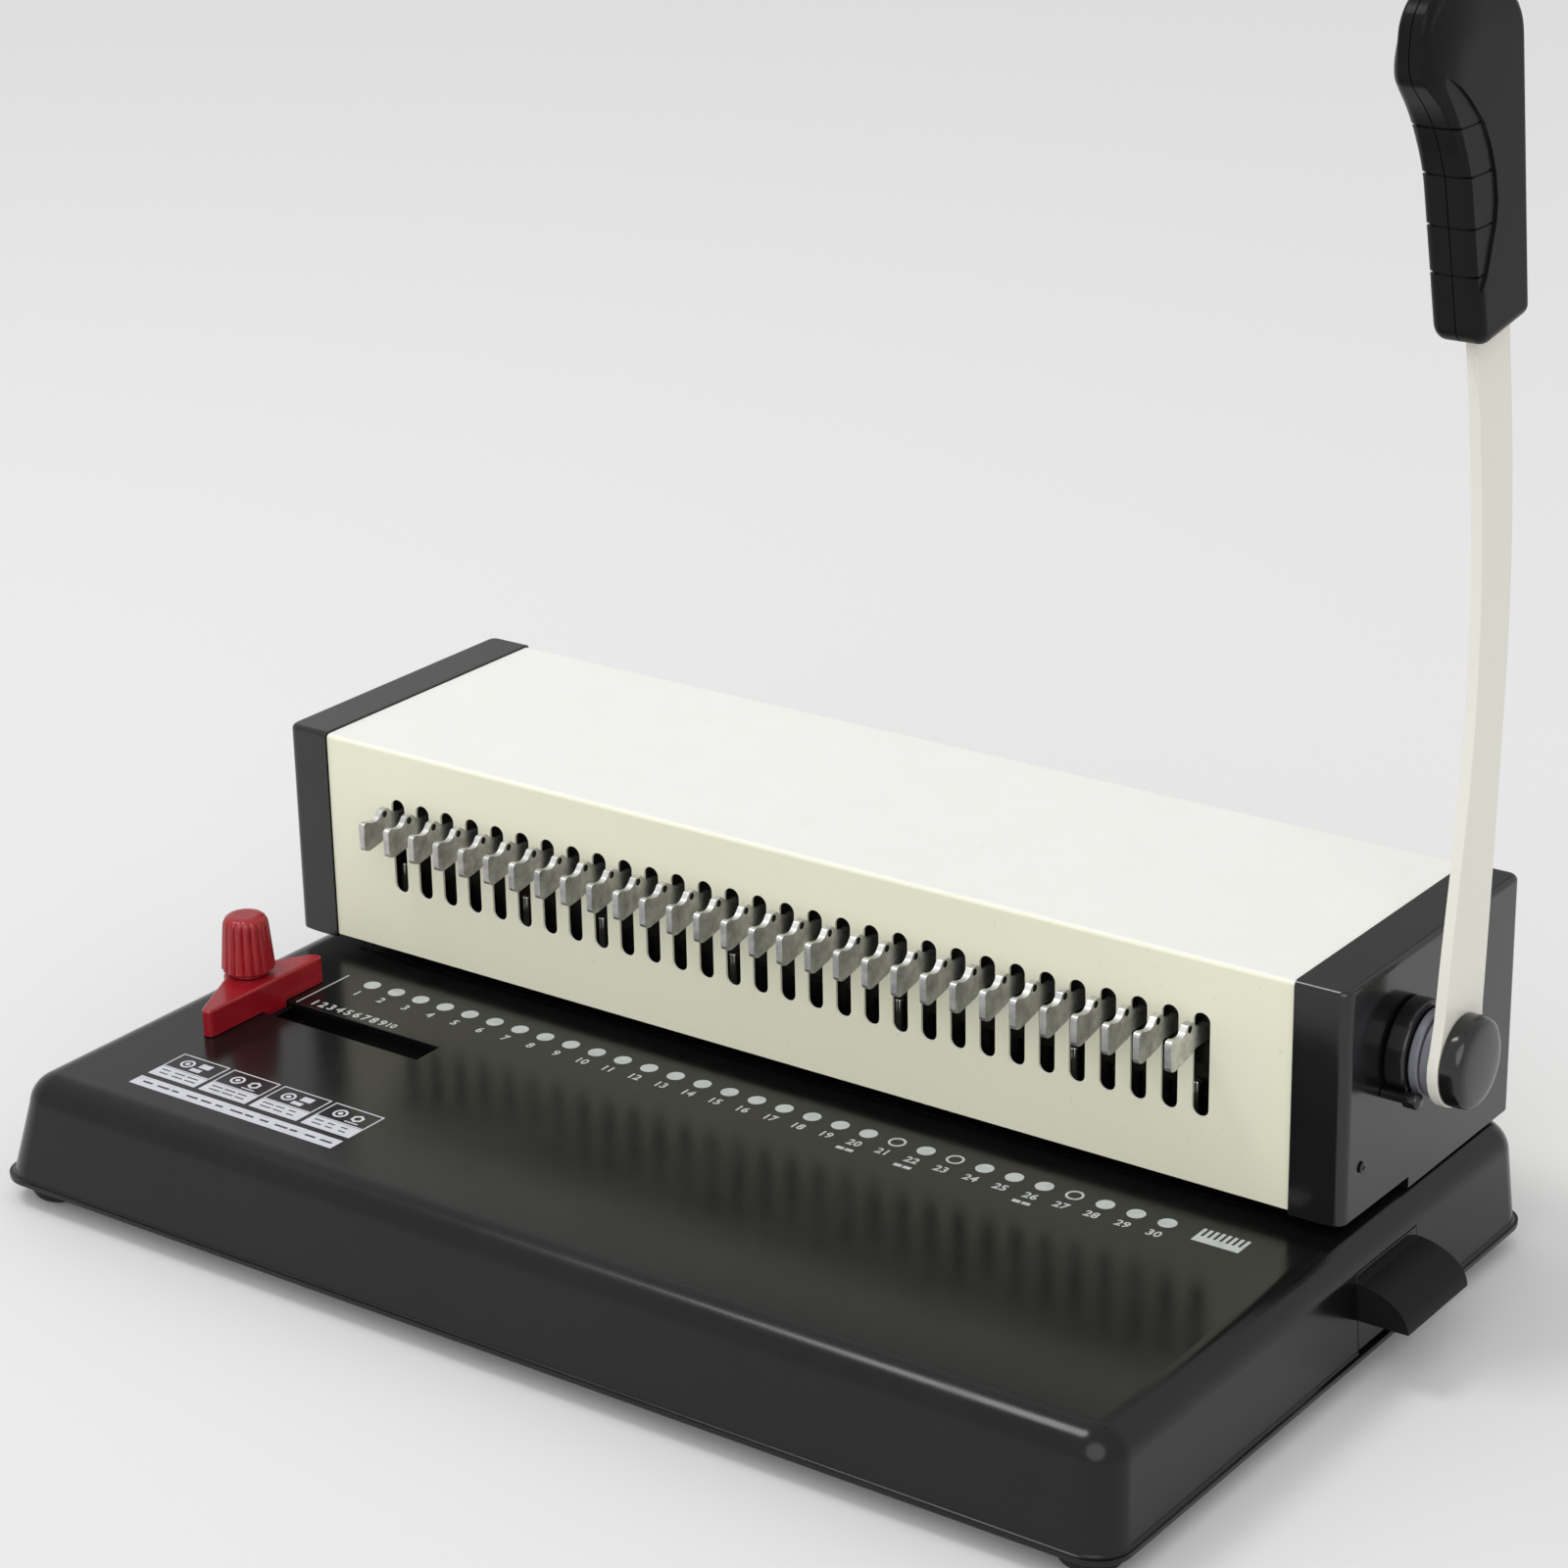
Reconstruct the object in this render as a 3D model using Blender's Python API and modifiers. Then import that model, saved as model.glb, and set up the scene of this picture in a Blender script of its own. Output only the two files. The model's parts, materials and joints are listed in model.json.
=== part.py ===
"""Desk punch for loose-leaf sheets, with a row of ring opener hooks.

Metres, +Z up. In the sizes below, x = 0 is the middle of the row of holes, y = 0 is the front face of
the punch cover and z = 0 is the desk. The front of the machine faces -Y and the lever is on the +X side.
An empty carries the whole machine, so that the world origin lies under the middle of its box.
"""
import math

import bmesh
import bpy
from mathutils import Matrix, Vector

for old in list(bpy.data.objects):
    bpy.data.objects.remove(old, do_unlink=True)

# Sizes that many pieces share
GAP = 0.0003
EMBED = 0.0005
OVERRUN = 0.004
WELD = 0.0000005
MERGE = 0.000005
ROUND_STEPS = 24
BEND_STEPS = 3

# Row of holes
HOLE_COUNT = 30
HOLE_PITCH = 0.0095
PIN_RADIUS = 0.00275
PIN_Y = 0.014
PIN_STEPS = 10
EDGE_TO_HOLE = 0.0065

# Base
FOOT_HEIGHT = 0.007
BASE_PAST_CAP = 0.0073
BASE_APRON = 0.125
BASE_BEHIND_COVER = 0.002
BASE_HEIGHT = 0.032
BASE_WALL = 0.0022
BASE_LIP = 0.0014
BASE_DRAFT = 0.0022
BASE_CORNER = 0.010
BASE_SHOULDER = 0.007
BASE_CORNER_STEPS = 5
BASE_SHOULDER_STEPS = 4

# Bottom plate, feet, posts and screws
BOTTOM_SHEET = 0.0012
BOTTOM_RECESS = 0.0008
FOOT_RADIUS = 0.009
FOOT_ROUND = 0.0028
FOOT_INSET = 0.0098
POST_RADIUS = 0.004
POST_OFFSET = 0.021
SCREW_RADIUS = 0.0015
SCREW_LENGTH = 0.012
SCREW_HEAD_RADIUS = 0.0032
SCREW_HEAD = 0.0016
TIP_ROOM = 0.002

# Punch unit
FRAME_IN_COVER = 0.0046
FRAME_SHEET = 0.0025
FRAME_FRONT = 0.003
FRAME_BACK_ROOM = 0.005
FRAME_TOP_ROOM = 0.0034
FRAME_ROUND = 0.004
DIE_SHEET = 0.004
DIE_FRONT = 0.0043
DIE_BACK = 0.0337
TONGUE_DROP = 0.007
PAPER_GAP = 0.0022
THROAT_DEPTH = 0.022
GUIDE_SHEET = 0.004
GUIDE_FRONT = 0.005
STOP_BACK = 0.033
PIN_TIP_SET_BACK = 0.001
PUNCH_STROKE = 0.010
STRIP_SHEET = 0.002
STRIP_WIDTH = 0.007
STRIP_END = 0.0045
BAR_HEIGHT = 0.007
BAR_FRONT = 0.0095
BAR_BACK = 0.027
TIE_RADIUS = 0.004
TIE_INSET = 0.015
TIE_ABOVE_SHAFT = 0.005
SPRING_PAST_CAM = 0.020
SPRING_Y = 0.0227
SPRING_RADIUS = 0.003
SPRING_WIRE = 0.0005
SPRING_TURNS = 6
SPRING_POINTS = 8

# Shaft, cams and bushes
SHAFT_RADIUS = 0.006
SHAFT_Y = 0.0315
SHAFT_HEIGHT = 0.044
LEVER_SWING = math.radians(80)
CAM_INSET = 0.0375
CAM_SHEET = 0.008
CAM_HUB = 0.0085
CAM_LEAD = math.radians(22)
CAM_NOSE = math.radians(75)
CAM_POINTS = 12
BUSH_RADIUS = 0.008
BUSH_FLANGE_RADIUS = 0.0105
BUSH_FLANGE = 0.0015
SHAFT_LEFT_OVERHANG = 0.004
RING_SHEET = 0.0012
RING_RADIUS = 0.0092

# Ring opener
HOOK_SHEET = 0.002
HOOK_REACH = 0.015
HOOK_HEIGHT = 0.0092
RAIL_FRONT = 0.0042
RAIL_SHEET = 0.002
RAIL_HEIGHT = 0.018
RAIL_PAST_SLOT = 0.0015
TOOTH_COUNT = 18
TOOTH_MODULE = 0.0015
TOOTH_ROOT_SHARE = 0.27
TOOTH_TIP_SHARE = 0.10
TOOTH_ABOVE_SHARE = 0.8
TOOTH_BELOW_SHARE = 1.13
PINION_INSET = 0.0085
PINION_SHEET = 0.006
RACK_BELOW_SHAFT = 0.0055
RACK_TOP_ROOM = 0.001

# Punch cover and end caps
COVER_PAST_ROW = 0.02685
COVER_DEPTH = 0.095
PAPER_MOUTH = 0.0049
COVER_ABOVE_SHAFT = 0.0256
COVER_SHEET = 0.0012
COVER_BEND = 0.002
SLOT_WIDTH = 0.0039
SLOT_HEIGHT = 0.0245
SLOT_LENGTH = 0.0297
SLOT_STEPS = 6
LEFT_CAP_WIDTH = 0.0147
RIGHT_CAP_WIDTH = 0.0158
CAP_WALL = 0.0022
CAP_PROUD = 0.0007
CAP_EDGE = 0.002
CAP_SIDE_EDGE = 0.001
CAP_NOTCH_DEPTH = 0.036
CAP_NOTCH_HEIGHT = 0.004
CAP_SCREW_HEIGHT = 0.018
CAP_SCREW_FRONT = 0.009
CAP_SCREW_REAR_INSET = 0.006
CAP_SCREW_HEAD = 0.0006

# Lever
BOSS_RADIUS = 0.015
BOSS_STEP_RADIUS = 0.013
BOSS_LENGTH = 0.0060
BOSS_STEP = 0.0024
WASHER_RADIUS = 0.012
WASHER_SHEET = 0.0027
BAR_SHEET = 0.003
EYE_RADIUS = 0.013
LEVER_LENGTH = 0.193
LEVER_BOW = 0.0083
LEVER_BOW_POWER = 1.25
LEVER_ROOT_WIDTH = 0.022
LEVER_WAIST_WIDTH = 0.016
LEVER_TOP_WIDTH = 0.0172
LEVER_POINTS = 14
EYE_POINTS = 14
TANG_WIDTH = 0.011
TANG_LENGTH = 0.062
MOUTH_DEPTH = 0.005
GRIP_THICKNESS = 0.014
GRIP_DEPTH = 0.0556
GRIP_LENGTH = 0.0894
GRIP_BEHIND_PIVOT = 0.0092
GRIP_BELOW_BAR_END = 0.0008
GRIP_EDGE = 0.0040
GRIP_EDGE_STEPS = 3
GRIP_BEND_STEPS = 5
GRIP_SCREW_LOW_SHARE = 0.32
GRIP_SCREW_HIGH_SHARE = 0.78
GRIP_SCREW_RADIUS = 0.0014
GRIP_SCREW_HEAD_RADIUS = 0.0028
GRIP_SCREW_HEAD = 0.0014
GRIP_SCREW_BITE = 0.0025
BOLT_RADIUS = 0.003
BOLT_LENGTH = 0.014
BOLT_HEAD_RADIUS = 0.0065
BOLT_HEAD = 0.0028
PIVOT_CAP_RADIUS = 0.0125
PIVOT_CAP_RIM = 0.0042
PIVOT_CAP_DOME = 0.0022
PIVOT_CAP_STEPS = 5
STOP_PIN_RADIUS = 0.0024
STOP_PIN_DROP = 0.0085
STOP_PIN_FORWARD = 0.0126
STOP_PIN_LENGTH = 0.011

# Chip tray
TRAY_END_ROOM = 0.0344
TRAY_WIDTH = 0.033
TRAY_BACK = 0.0325
TRAY_BELOW_DIE = 0.0008
TRAY_WALL = 0.0015
TRAY_PANEL = 0.0025
TRAY_DOOR_GAP = 0.0006
PULL_REACH = 0.014
PULL_HEIGHT = 0.0125
PULL_WALL = 0.0024
PULL_STEPS = 8

# Edge guide
TRACK_INSET = 0.017
TRACK_LENGTH = 0.0785
TRACK_FRONT = -0.048
TRACK_BACK = -0.038
GUIDE_FACE_IN_TRACK = 0.0195
GUIDE_BLOCK_FRONT = -0.0705
GUIDE_BLOCK_BACK = -0.0215
GUIDE_BLOCK_HEIGHT = 0.0082
GUIDE_TIP_WIDTH = 0.0035
GUIDE_STUD_INSET = 0.0100
GUIDE_BOSS_RADIUS = 0.0075
GUIDE_EDGE = 0.0006
TONGUE_LENGTH = 0.006
STUD_RADIUS = 0.0025
STUD_HEAD_RADIUS = 0.005
KNOB_LOW_RADIUS = 0.0071
KNOB_TOP_RADIUS = 0.0058
KNOB_HEIGHT = 0.017
KNOB_NECK_RADIUS = 0.0052
KNOB_NECK = 0.0014
KNOB_FLUTES = 16
KNOB_FLUTE_SHARE = 0.90
KNOB_EDGE = 0.0012
CLAMP_LENGTH = 0.016
CLAMP_WIDTH = 0.018
CLAMP_SHEET = 0.002

# Places worked out from the sizes above
ROW_HALF = (HOLE_COUNT - 1) * HOLE_PITCH / 2
HOLES = [index * HOLE_PITCH - ROW_HALF for index in range(HOLE_COUNT)]
COVER_HALF = ROW_HALF + COVER_PAST_ROW
CAP_INNER_X = COVER_HALF + GAP
LEFT_CAP_X = CAP_INNER_X + LEFT_CAP_WIDTH
RIGHT_CAP_X = CAP_INNER_X + RIGHT_CAP_WIDTH
BASE_WIDTH = 2 * (RIGHT_CAP_X + BASE_PAST_CAP)
BASE_FRONT = -BASE_APRON
BASE_BACK = COVER_DEPTH + BASE_BEHIND_COVER
BASE_DEPTH = BASE_BACK - BASE_FRONT
BASE_INNER_X = BASE_WIDTH / 2 - BASE_LIP - BASE_WALL
BASE_INNER_FRONT = BASE_FRONT + BASE_LIP + BASE_WALL
BASE_INNER_BACK = BASE_BACK - BASE_LIP - BASE_WALL
BOTTOM_Z = FOOT_HEIGHT + BOTTOM_RECESS
TABLE_Z = FOOT_HEIGHT + BASE_HEIGHT
SKIN_Z = TABLE_Z - BASE_WALL
SHAFT_Z = TABLE_Z + SHAFT_HEIGHT
COVER_BOTTOM = TABLE_Z + PAPER_MOUTH
COVER_TOP = SHAFT_Z + COVER_ABOVE_SHAFT
CEILING = COVER_TOP - COVER_SHEET
SLOT_BOTTOM = TABLE_Z + SLOT_HEIGHT
SLOT_TOP = SLOT_BOTTOM + SLOT_LENGTH
FRAME_OUTER_X = COVER_HALF - FRAME_IN_COVER
FRAME_INNER_X = FRAME_OUTER_X - FRAME_SHEET
FRAME_BACK = COVER_DEPTH - FRAME_BACK_ROOM
FRAME_TOP = CEILING - FRAME_TOP_ROOM
TIE_Y = FRAME_BACK - TIE_INSET
TIE_Z = SHAFT_Z + TIE_ABOVE_SHAFT
CAP_SCREW_REAR = FRAME_BACK - CAP_SCREW_REAR_INSET
CAM_X = FRAME_INNER_X - CAM_INSET
PINION_X = FRAME_INNER_X - PINION_INSET
SPRING_X = CAM_X - SPRING_PAST_CAM
GUIDE_Z = TABLE_Z + PAPER_GAP
GUIDE_TOP = GUIDE_Z + GUIDE_SHEET
PIN_TIP_Z = GUIDE_Z + PIN_TIP_SET_BACK
DIE_HALF = FRAME_INNER_X - GAP
PIN_HALF = ROW_HALF + STRIP_END
BAR_HALF = PIN_HALF + GAP
CAM_BASE = PUNCH_STROKE / LEVER_SWING
CAM_START = math.sqrt((CAM_HUB / CAM_BASE) ** 2 - 1) + CAM_LEAD
BAR_TOP = SHAFT_Z - CAM_BASE * CAM_START - GAP
BAR_BOTTOM = BAR_TOP - BAR_HEIGHT
STRIP_TOP = BAR_BOTTOM - GAP
STRIP_BOTTOM = STRIP_TOP - STRIP_SHEET
RACK_BOTTOM = SHAFT_Z - RACK_BELOW_SHAFT
RACK_TOP = CEILING - RACK_TOP_ROOM
PITCH_RADIUS = TOOTH_COUNT * TOOTH_MODULE / 2
TOOTH_PITCH = math.pi * TOOTH_MODULE
RACK_LINE_Y = SHAFT_Y - PITCH_RADIUS
RAIL_TOP = SLOT_TOP + RAIL_PAST_SLOT
RAIL_BACK = RAIL_FRONT + RAIL_SHEET
BOSS_X = RIGHT_CAP_X + GAP
WASHER_X = BOSS_X + BOSS_LENGTH + GAP
WASHER_OUTER_X = WASHER_X + WASHER_SHEET + GAP
LEVER_X = WASHER_OUTER_X + WASHER_SHEET + GAP
LEVER_OUTER_X = LEVER_X + BAR_SHEET
GRIP_X = LEVER_X + BAR_SHEET / 2
BOLT_X = LEVER_OUTER_X + GAP
MACHINE_RIGHT = BOLT_X + PIVOT_CAP_RIM + PIVOT_CAP_DOME
MACHINE_LEFT = -BASE_WIDTH / 2
TRACK_LEFT = MACHINE_LEFT + TRACK_INSET
TRACK_RIGHT = TRACK_LEFT + TRACK_LENGTH
GUIDE_FACE_X = TRACK_LEFT + GUIDE_FACE_IN_TRACK
STUD_X = GUIDE_FACE_X - GUIDE_STUD_INSET
STUD_Y = (TRACK_FRONT + TRACK_BACK) / 2
TRAY_BOTTOM = FOOT_HEIGHT + BASE_WALL + GAP
TRAY_TOP = TABLE_Z - TONGUE_DROP - TRAY_BELOW_DIE
TRAY_FRONT = TRAY_BACK - TRAY_WIDTH
TRAY_LEFT = TRAY_END_ROOM - BASE_INNER_X
PANEL_X = BASE_WIDTH / 2 - BASE_LIP - BASE_DRAFT
PULL_X = PANEL_X + TRAY_PANEL

PARTS = bpy.data.collections.new("multi_hole_punch")
CUTTERS = bpy.data.collections.new("cutters")
bpy.context.scene.collection.children.link(PARTS)
bpy.context.scene.collection.children.link(CUTTERS)


# Materials
def material(name, color, roughness, metallic=0.0):
    made = bpy.data.materials.new(name)
    made.use_nodes = True
    shader = made.node_tree.nodes["Principled BSDF"]
    shader.inputs["Base Color"].default_value = (*color, 1)
    shader.inputs["Roughness"].default_value = roughness
    shader.inputs["Metallic"].default_value = metallic
    made.diffuse_color = (*color, 1)
    return made


BLACK_PLASTIC = material("black_plastic", (0.018, 0.018, 0.020), 0.30)
CREAM_PAINT = material("cream_paint", (0.78, 0.76, 0.62), 0.42)
IVORY_PAINT = material("ivory_paint", (0.80, 0.78, 0.66), 0.38)
RED_PLASTIC = material("red_plastic", (0.50, 0.012, 0.018), 0.32)
RUBBER = material("rubber", (0.020, 0.020, 0.020), 0.80)
STEEL = material("steel", (0.55, 0.55, 0.55), 0.35, 1.0)
PLATED_STEEL = material("plated_steel", (0.70, 0.70, 0.68), 0.28, 1.0)
BRONZE = material("bronze", (0.55, 0.38, 0.18), 0.40, 1.0)
GREY_NYLON = material("grey_nylon", (0.62, 0.62, 0.66), 0.50)


# Carriers: one empty on each joint's axis
def carrier(name, place, parent=None):
    empty = bpy.data.objects.new(name, None)
    PARTS.objects.link(empty)
    empty.parent = parent
    empty.location = place
    return empty


FRAME_PLACE = Vector((-(MACHINE_LEFT + MACHINE_RIGHT) / 2, -(BASE_FRONT + BASE_BACK) / 2, 0))
MACHINE = carrier("machine_frame", FRAME_PLACE)
CARRIER_PLACES = {
    "lever": Vector((0, SHAFT_Y, SHAFT_Z)),
    "punch": Vector((0, PIN_Y, BAR_TOP)),
    "opener": Vector((0, RAIL_FRONT, RAIL_TOP)),
    "tray": Vector((PULL_X, (TRAY_FRONT + TRAY_BACK) / 2, TRAY_BOTTOM)),
    "guide": Vector((STUD_X, STUD_Y, TABLE_Z)),
}
CARRIERS = {name: carrier(name + "_axis", place, MACHINE) for name, place in CARRIER_PLACES.items()}


def carry(piece, carried_by=None):
    """Hang a piece on its carrier; its own location stays in the machine's sizes."""
    if carried_by is None:
        piece.parent = MACHINE
    else:
        piece.parent = CARRIERS[carried_by]
        piece.matrix_parent_inverse = Matrix.Translation(-CARRIER_PLACES[carried_by])
    return piece


# Outlines
def arc(centre, radius, start, end, steps):
    """Points on an arc; angles in radians from the first axis towards the second."""
    return [(centre[0] + radius * math.cos(start + (end - start) * step / steps),
             centre[1] + radius * math.sin(start + (end - start) * step / steps))
            for step in range(steps + 1)]


def circle(centre, radius, steps):
    return arc(centre, radius, 0, 2 * math.pi, steps)[:-1]


def rounded(corners, steps=BEND_STEPS):
    """A closed outline whose corners are (u, v, radius); each corner with a radius gets an arc."""
    points = []
    for index, (u, v, radius) in enumerate(corners):
        here = Vector((u, v))
        if radius == 0:
            points.append((u, v))
            continue
        before = (Vector(corners[index - 1][:2]) - here).normalized()
        after = (Vector(corners[(index + 1) % len(corners)][:2]) - here).normalized()
        half = before.angle(after) / 2
        middle = here + (before + after).normalized() * radius / math.sin(half)
        start = here + before * radius / math.tan(half) - middle
        turn = start.angle_signed(here + after * radius / math.tan(half) - middle)
        first = math.atan2(start.y, start.x)
        points += [(middle.x + radius * math.cos(first - turn * step / steps),
                    middle.y + radius * math.sin(first - turn * step / steps))
                   for step in range(steps + 1)]
    return points


def rectangle(low, high, radius=0):
    return rounded([(low[0], low[1], radius), (high[0], low[1], radius),
                    (high[0], high[1], radius), (low[0], high[1], radius)])


def stadium(centre_u, low_v, high_v, width):
    """A slot's outline: straight sides with round ends."""
    radius = width / 2
    return (arc((centre_u, high_v - radius), radius, 0, math.pi, SLOT_STEPS)
            + arc((centre_u, low_v + radius), radius, math.pi, 2 * math.pi, SLOT_STEPS))


# Solids
TURNS = {
    "X": Matrix(((0, 0, 1), (1, 0, 0), (0, 1, 0))).to_4x4(),
    "Y": Matrix(((1, 0, 0), (0, 0, -1), (0, 1, 0))).to_4x4(),
    "Z": Matrix.Identity(4),
}
AXES = {"X": Vector((1, 0, 0)), "Y": Vector((0, 1, 0)), "Z": Vector((0, 0, 1))}


def add(name, mesh, look, carried_by=None):
    piece = bpy.data.objects.new(name, mesh)
    mesh.materials.clear()
    if look is None:
        CUTTERS.objects.link(piece)
        piece.hide_render = True
        piece.display_type = "WIRE"
    else:
        mesh.materials.append(look)
        PARTS.objects.link(piece)
    return carry(piece, carried_by)


def plate(name, outlines, axis, low, high, look, carried_by=None):
    """A flat plate across an axis, from low to high on it; outlines after the first are holes.

    Across X the outline's points are (y, z), across Y (x, z) and across Z (x, y).
    """
    curve = bpy.data.curves.new(name, "CURVE")
    curve.dimensions = "2D"
    curve.fill_mode = "BOTH"
    curve.extrude = (high - low) / 2
    for outline in outlines:
        spline = curve.splines.new("POLY")
        spline.points.add(len(outline) - 1)
        for point, (u, v) in zip(spline.points, outline):
            point.co = (u, v, 0, 1)
        spline.use_cyclic_u = True
    drawn = bpy.data.objects.new(name + "_outline", curve)
    CUTTERS.objects.link(drawn)
    evaluated = drawn.evaluated_get(bpy.context.evaluated_depsgraph_get())
    mesh = bpy.data.meshes.new_from_object(evaluated)
    mesh.name = name
    bpy.data.objects.remove(drawn, do_unlink=True)
    mesh.transform(Matrix.Translation(AXES[axis] * (low + high) / 2) @ TURNS[axis])
    weld(mesh)
    return add(name, mesh, look, carried_by)


def weld(mesh):
    """Join a curve mesh's caps to its walls and point its faces outwards."""
    worked = bmesh.new()
    worked.from_mesh(mesh)
    bmesh.ops.remove_doubles(worked, verts=worked.verts, dist=WELD)
    bmesh.ops.recalc_face_normals(worked, faces=worked.faces)
    worked.to_mesh(mesh)
    worked.free()


def block(name, low, high, look, carried_by=None):
    """A box between two corners."""
    low, high = Vector(low), Vector(high)
    worked = bmesh.new()
    bmesh.ops.create_cube(worked, size=1)
    bmesh.ops.scale(worked, vec=high - low, verts=worked.verts)
    bmesh.ops.translate(worked, vec=(low + high) / 2, verts=worked.verts)
    return finish(worked, name, look, carried_by)


def finish(worked, name, look, carried_by=None):
    mesh = bpy.data.meshes.new(name)
    worked.to_mesh(mesh)
    worked.free()
    return add(name, mesh, look, carried_by)


def rod(name, axis, centre, low, high, radius, look, carried_by=None, steps=ROUND_STEPS):
    """A plain cylinder on an axis; centre holds the other two coordinates in order."""
    worked = bmesh.new()
    bmesh.ops.create_cone(worked, cap_ends=True, segments=steps, radius1=radius, radius2=radius,
                          depth=high - low)
    middle = (low + high) / 2
    place = {"X": (middle, *centre), "Y": (centre[0], middle, centre[1]), "Z": (*centre, middle)}[axis]
    worked.transform(Matrix.Translation(place) @ TURNS[axis])
    return finish(worked, name, look, carried_by)


def turned(name, profile, axis, place, look, carried_by=None, steps=ROUND_STEPS, closed=False):
    """A turned piece: (radius, height) points down its outer side, spun by a Screw modifier."""
    mesh = bpy.data.meshes.new(name)
    edges = [(index, index + 1) for index in range(len(profile) - 1)]
    if closed:
        edges.append((len(profile) - 1, 0))
    mesh.from_pydata([(radius, 0, height) for radius, height in profile], edges, [])
    piece = add(name, mesh, look, carried_by)
    piece.matrix_basis = Matrix.Translation(place) @ TURNS[axis]
    screw = piece.modifiers.new("turn", "SCREW")
    screw.axis = "Z"
    screw.angle = 2 * math.pi
    screw.steps = steps
    screw.render_steps = steps
    screw.use_merge_vertices = True
    screw.merge_threshold = MERGE
    screw.use_smooth_shade = True
    return piece


def ring(name, axis, centre, low, high, outer, inner, look, carried_by=None):
    """A flat ring or bush: a disc with a bore."""
    hoop = [circle(centre, outer, ROUND_STEPS), circle(centre, inner, ROUND_STEPS)]
    return plate(name, hoop, axis, low, high, look, carried_by)


def combine(piece, other, operation):
    change = piece.modifiers.new(other.name, "BOOLEAN")
    change.operation = operation
    change.object = other
    change.solver = "EXACT"
    return piece


def cut(piece, *cutters):
    for cutter in cutters:
        combine(piece, cutter, "DIFFERENCE")
    return piece


def join(piece, *others):
    for other in others:
        combine(piece, other, "UNION")
    return piece


def bevel(piece, width, steps, chosen):
    """Round the sharp edges for which chosen(edge) is true."""
    worked = bmesh.new()
    worked.from_mesh(piece.data)
    edges = [edge for edge in worked.edges
             if edge.calc_face_angle(0) > math.radians(40) and chosen(edge)]
    bmesh.ops.bevel(worked, geom=edges, offset=width, offset_type="OFFSET", affect="EDGES",
                    segments=steps, profile=0.5, clamp_overlap=True, material=-1)
    worked.to_mesh(piece.data)
    worked.free()
    return piece


def smooth(piece, degrees=35):
    piece.data.shade_smooth()
    piece.data.set_sharp_from_angle(angle=math.radians(degrees))
    return piece


# Base
def build_base():
    width = BASE_WIDTH - 2 * BASE_LIP
    depth = BASE_DEPTH - 2 * BASE_LIP
    lip_z = FOOT_HEIGHT + BASE_WALL
    height = TABLE_Z - lip_z
    middle = Vector((0, (BASE_FRONT + BASE_BACK) / 2, (TABLE_Z + lip_z) / 2))
    worked = bmesh.new()
    bmesh.ops.create_cube(worked, size=1)
    bmesh.ops.scale(worked, vec=(width, depth, height), verts=worked.verts)
    upright = [edge for edge in worked.edges if edge.verts[0].co.z * edge.verts[1].co.z < 0]
    bmesh.ops.bevel(worked, geom=upright, offset=BASE_CORNER, offset_type="OFFSET", affect="EDGES",
                    segments=BASE_CORNER_STEPS, profile=0.5, material=-1)
    top = [vert for vert in worked.verts if vert.co.z > 0]
    bmesh.ops.scale(worked, vec=((width - 2 * BASE_DRAFT) / width, (depth - 2 * BASE_DRAFT) / depth, 1),
                    verts=top)
    shoulder = [edge for edge in worked.edges
                if edge.verts[0].co.z > 0 and edge.verts[1].co.z > 0 and edge.calc_face_angle(0) > 1]
    bmesh.ops.bevel(worked, geom=shoulder, offset=BASE_SHOULDER, offset_type="OFFSET", affect="EDGES",
                    segments=BASE_SHOULDER_STEPS, profile=0.5, material=-1)
    underside = [face for face in worked.faces if face.normal.z < -0.9]
    bmesh.ops.delete(worked, geom=underside, context="FACES_ONLY")
    rim = [edge for edge in worked.edges if edge.is_boundary]
    lip = bmesh.ops.extrude_edge_only(worked, edges=rim)["geom"]
    bmesh.ops.scale(worked, vec=(BASE_WIDTH / width, BASE_DEPTH / depth, 1),
                    verts=[item for item in lip if isinstance(item, bmesh.types.BMVert)])
    bmesh.ops.translate(worked, vec=middle, verts=worked.verts)
    bmesh.ops.recalc_face_normals(worked, faces=worked.faces)
    housing = finish(worked, "base_housing", BLACK_PLASTIC)
    shell = housing.modifiers.new("wall", "SOLIDIFY")
    shell.thickness = BASE_WALL
    shell.offset = -1
    shell.use_even_offset = True
    posts = [circle(place, POST_RADIUS, PIN_STEPS) for place in post_places()]
    holes = [circle(place, SCREW_RADIUS + GAP, PIN_STEPS) for place in post_places()]
    join(housing, plate("post_shapes", posts, "Z", BOTTOM_Z + BOTTOM_SHEET + GAP, SKIN_Z + EMBED, None))
    die_opening = rectangle((-FRAME_OUTER_X - GAP, DIE_FRONT - GAP), (FRAME_OUTER_X + GAP, DIE_BACK + GAP))
    track = rectangle((TRACK_LEFT, TRACK_FRONT), (TRACK_RIGHT, TRACK_BACK))
    door_low = (TRAY_FRONT - TRAY_DOOR_GAP, TRAY_BOTTOM - GAP)
    door_high = (TRAY_BACK + TRAY_DOOR_GAP, TRAY_TOP + TRAY_DOOR_GAP)
    cut(housing,
        plate("table_openings", [die_opening], "Z", SKIN_Z - OVERRUN, TABLE_Z + OVERRUN, None),
        plate("track_opening", [track], "Z", SKIN_Z - OVERRUN, TABLE_Z + OVERRUN, None),
        plate("tray_door", [rectangle(door_low, door_high)], "X", PANEL_X - BASE_WALL - OVERRUN,
              BASE_WIDTH / 2 + OVERRUN, None),
        plate("post_holes", holes, "Z", TRAY_BOTTOM - OVERRUN, BOTTOM_Z + SCREW_LENGTH + GAP, None))
    smooth(housing)


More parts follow.
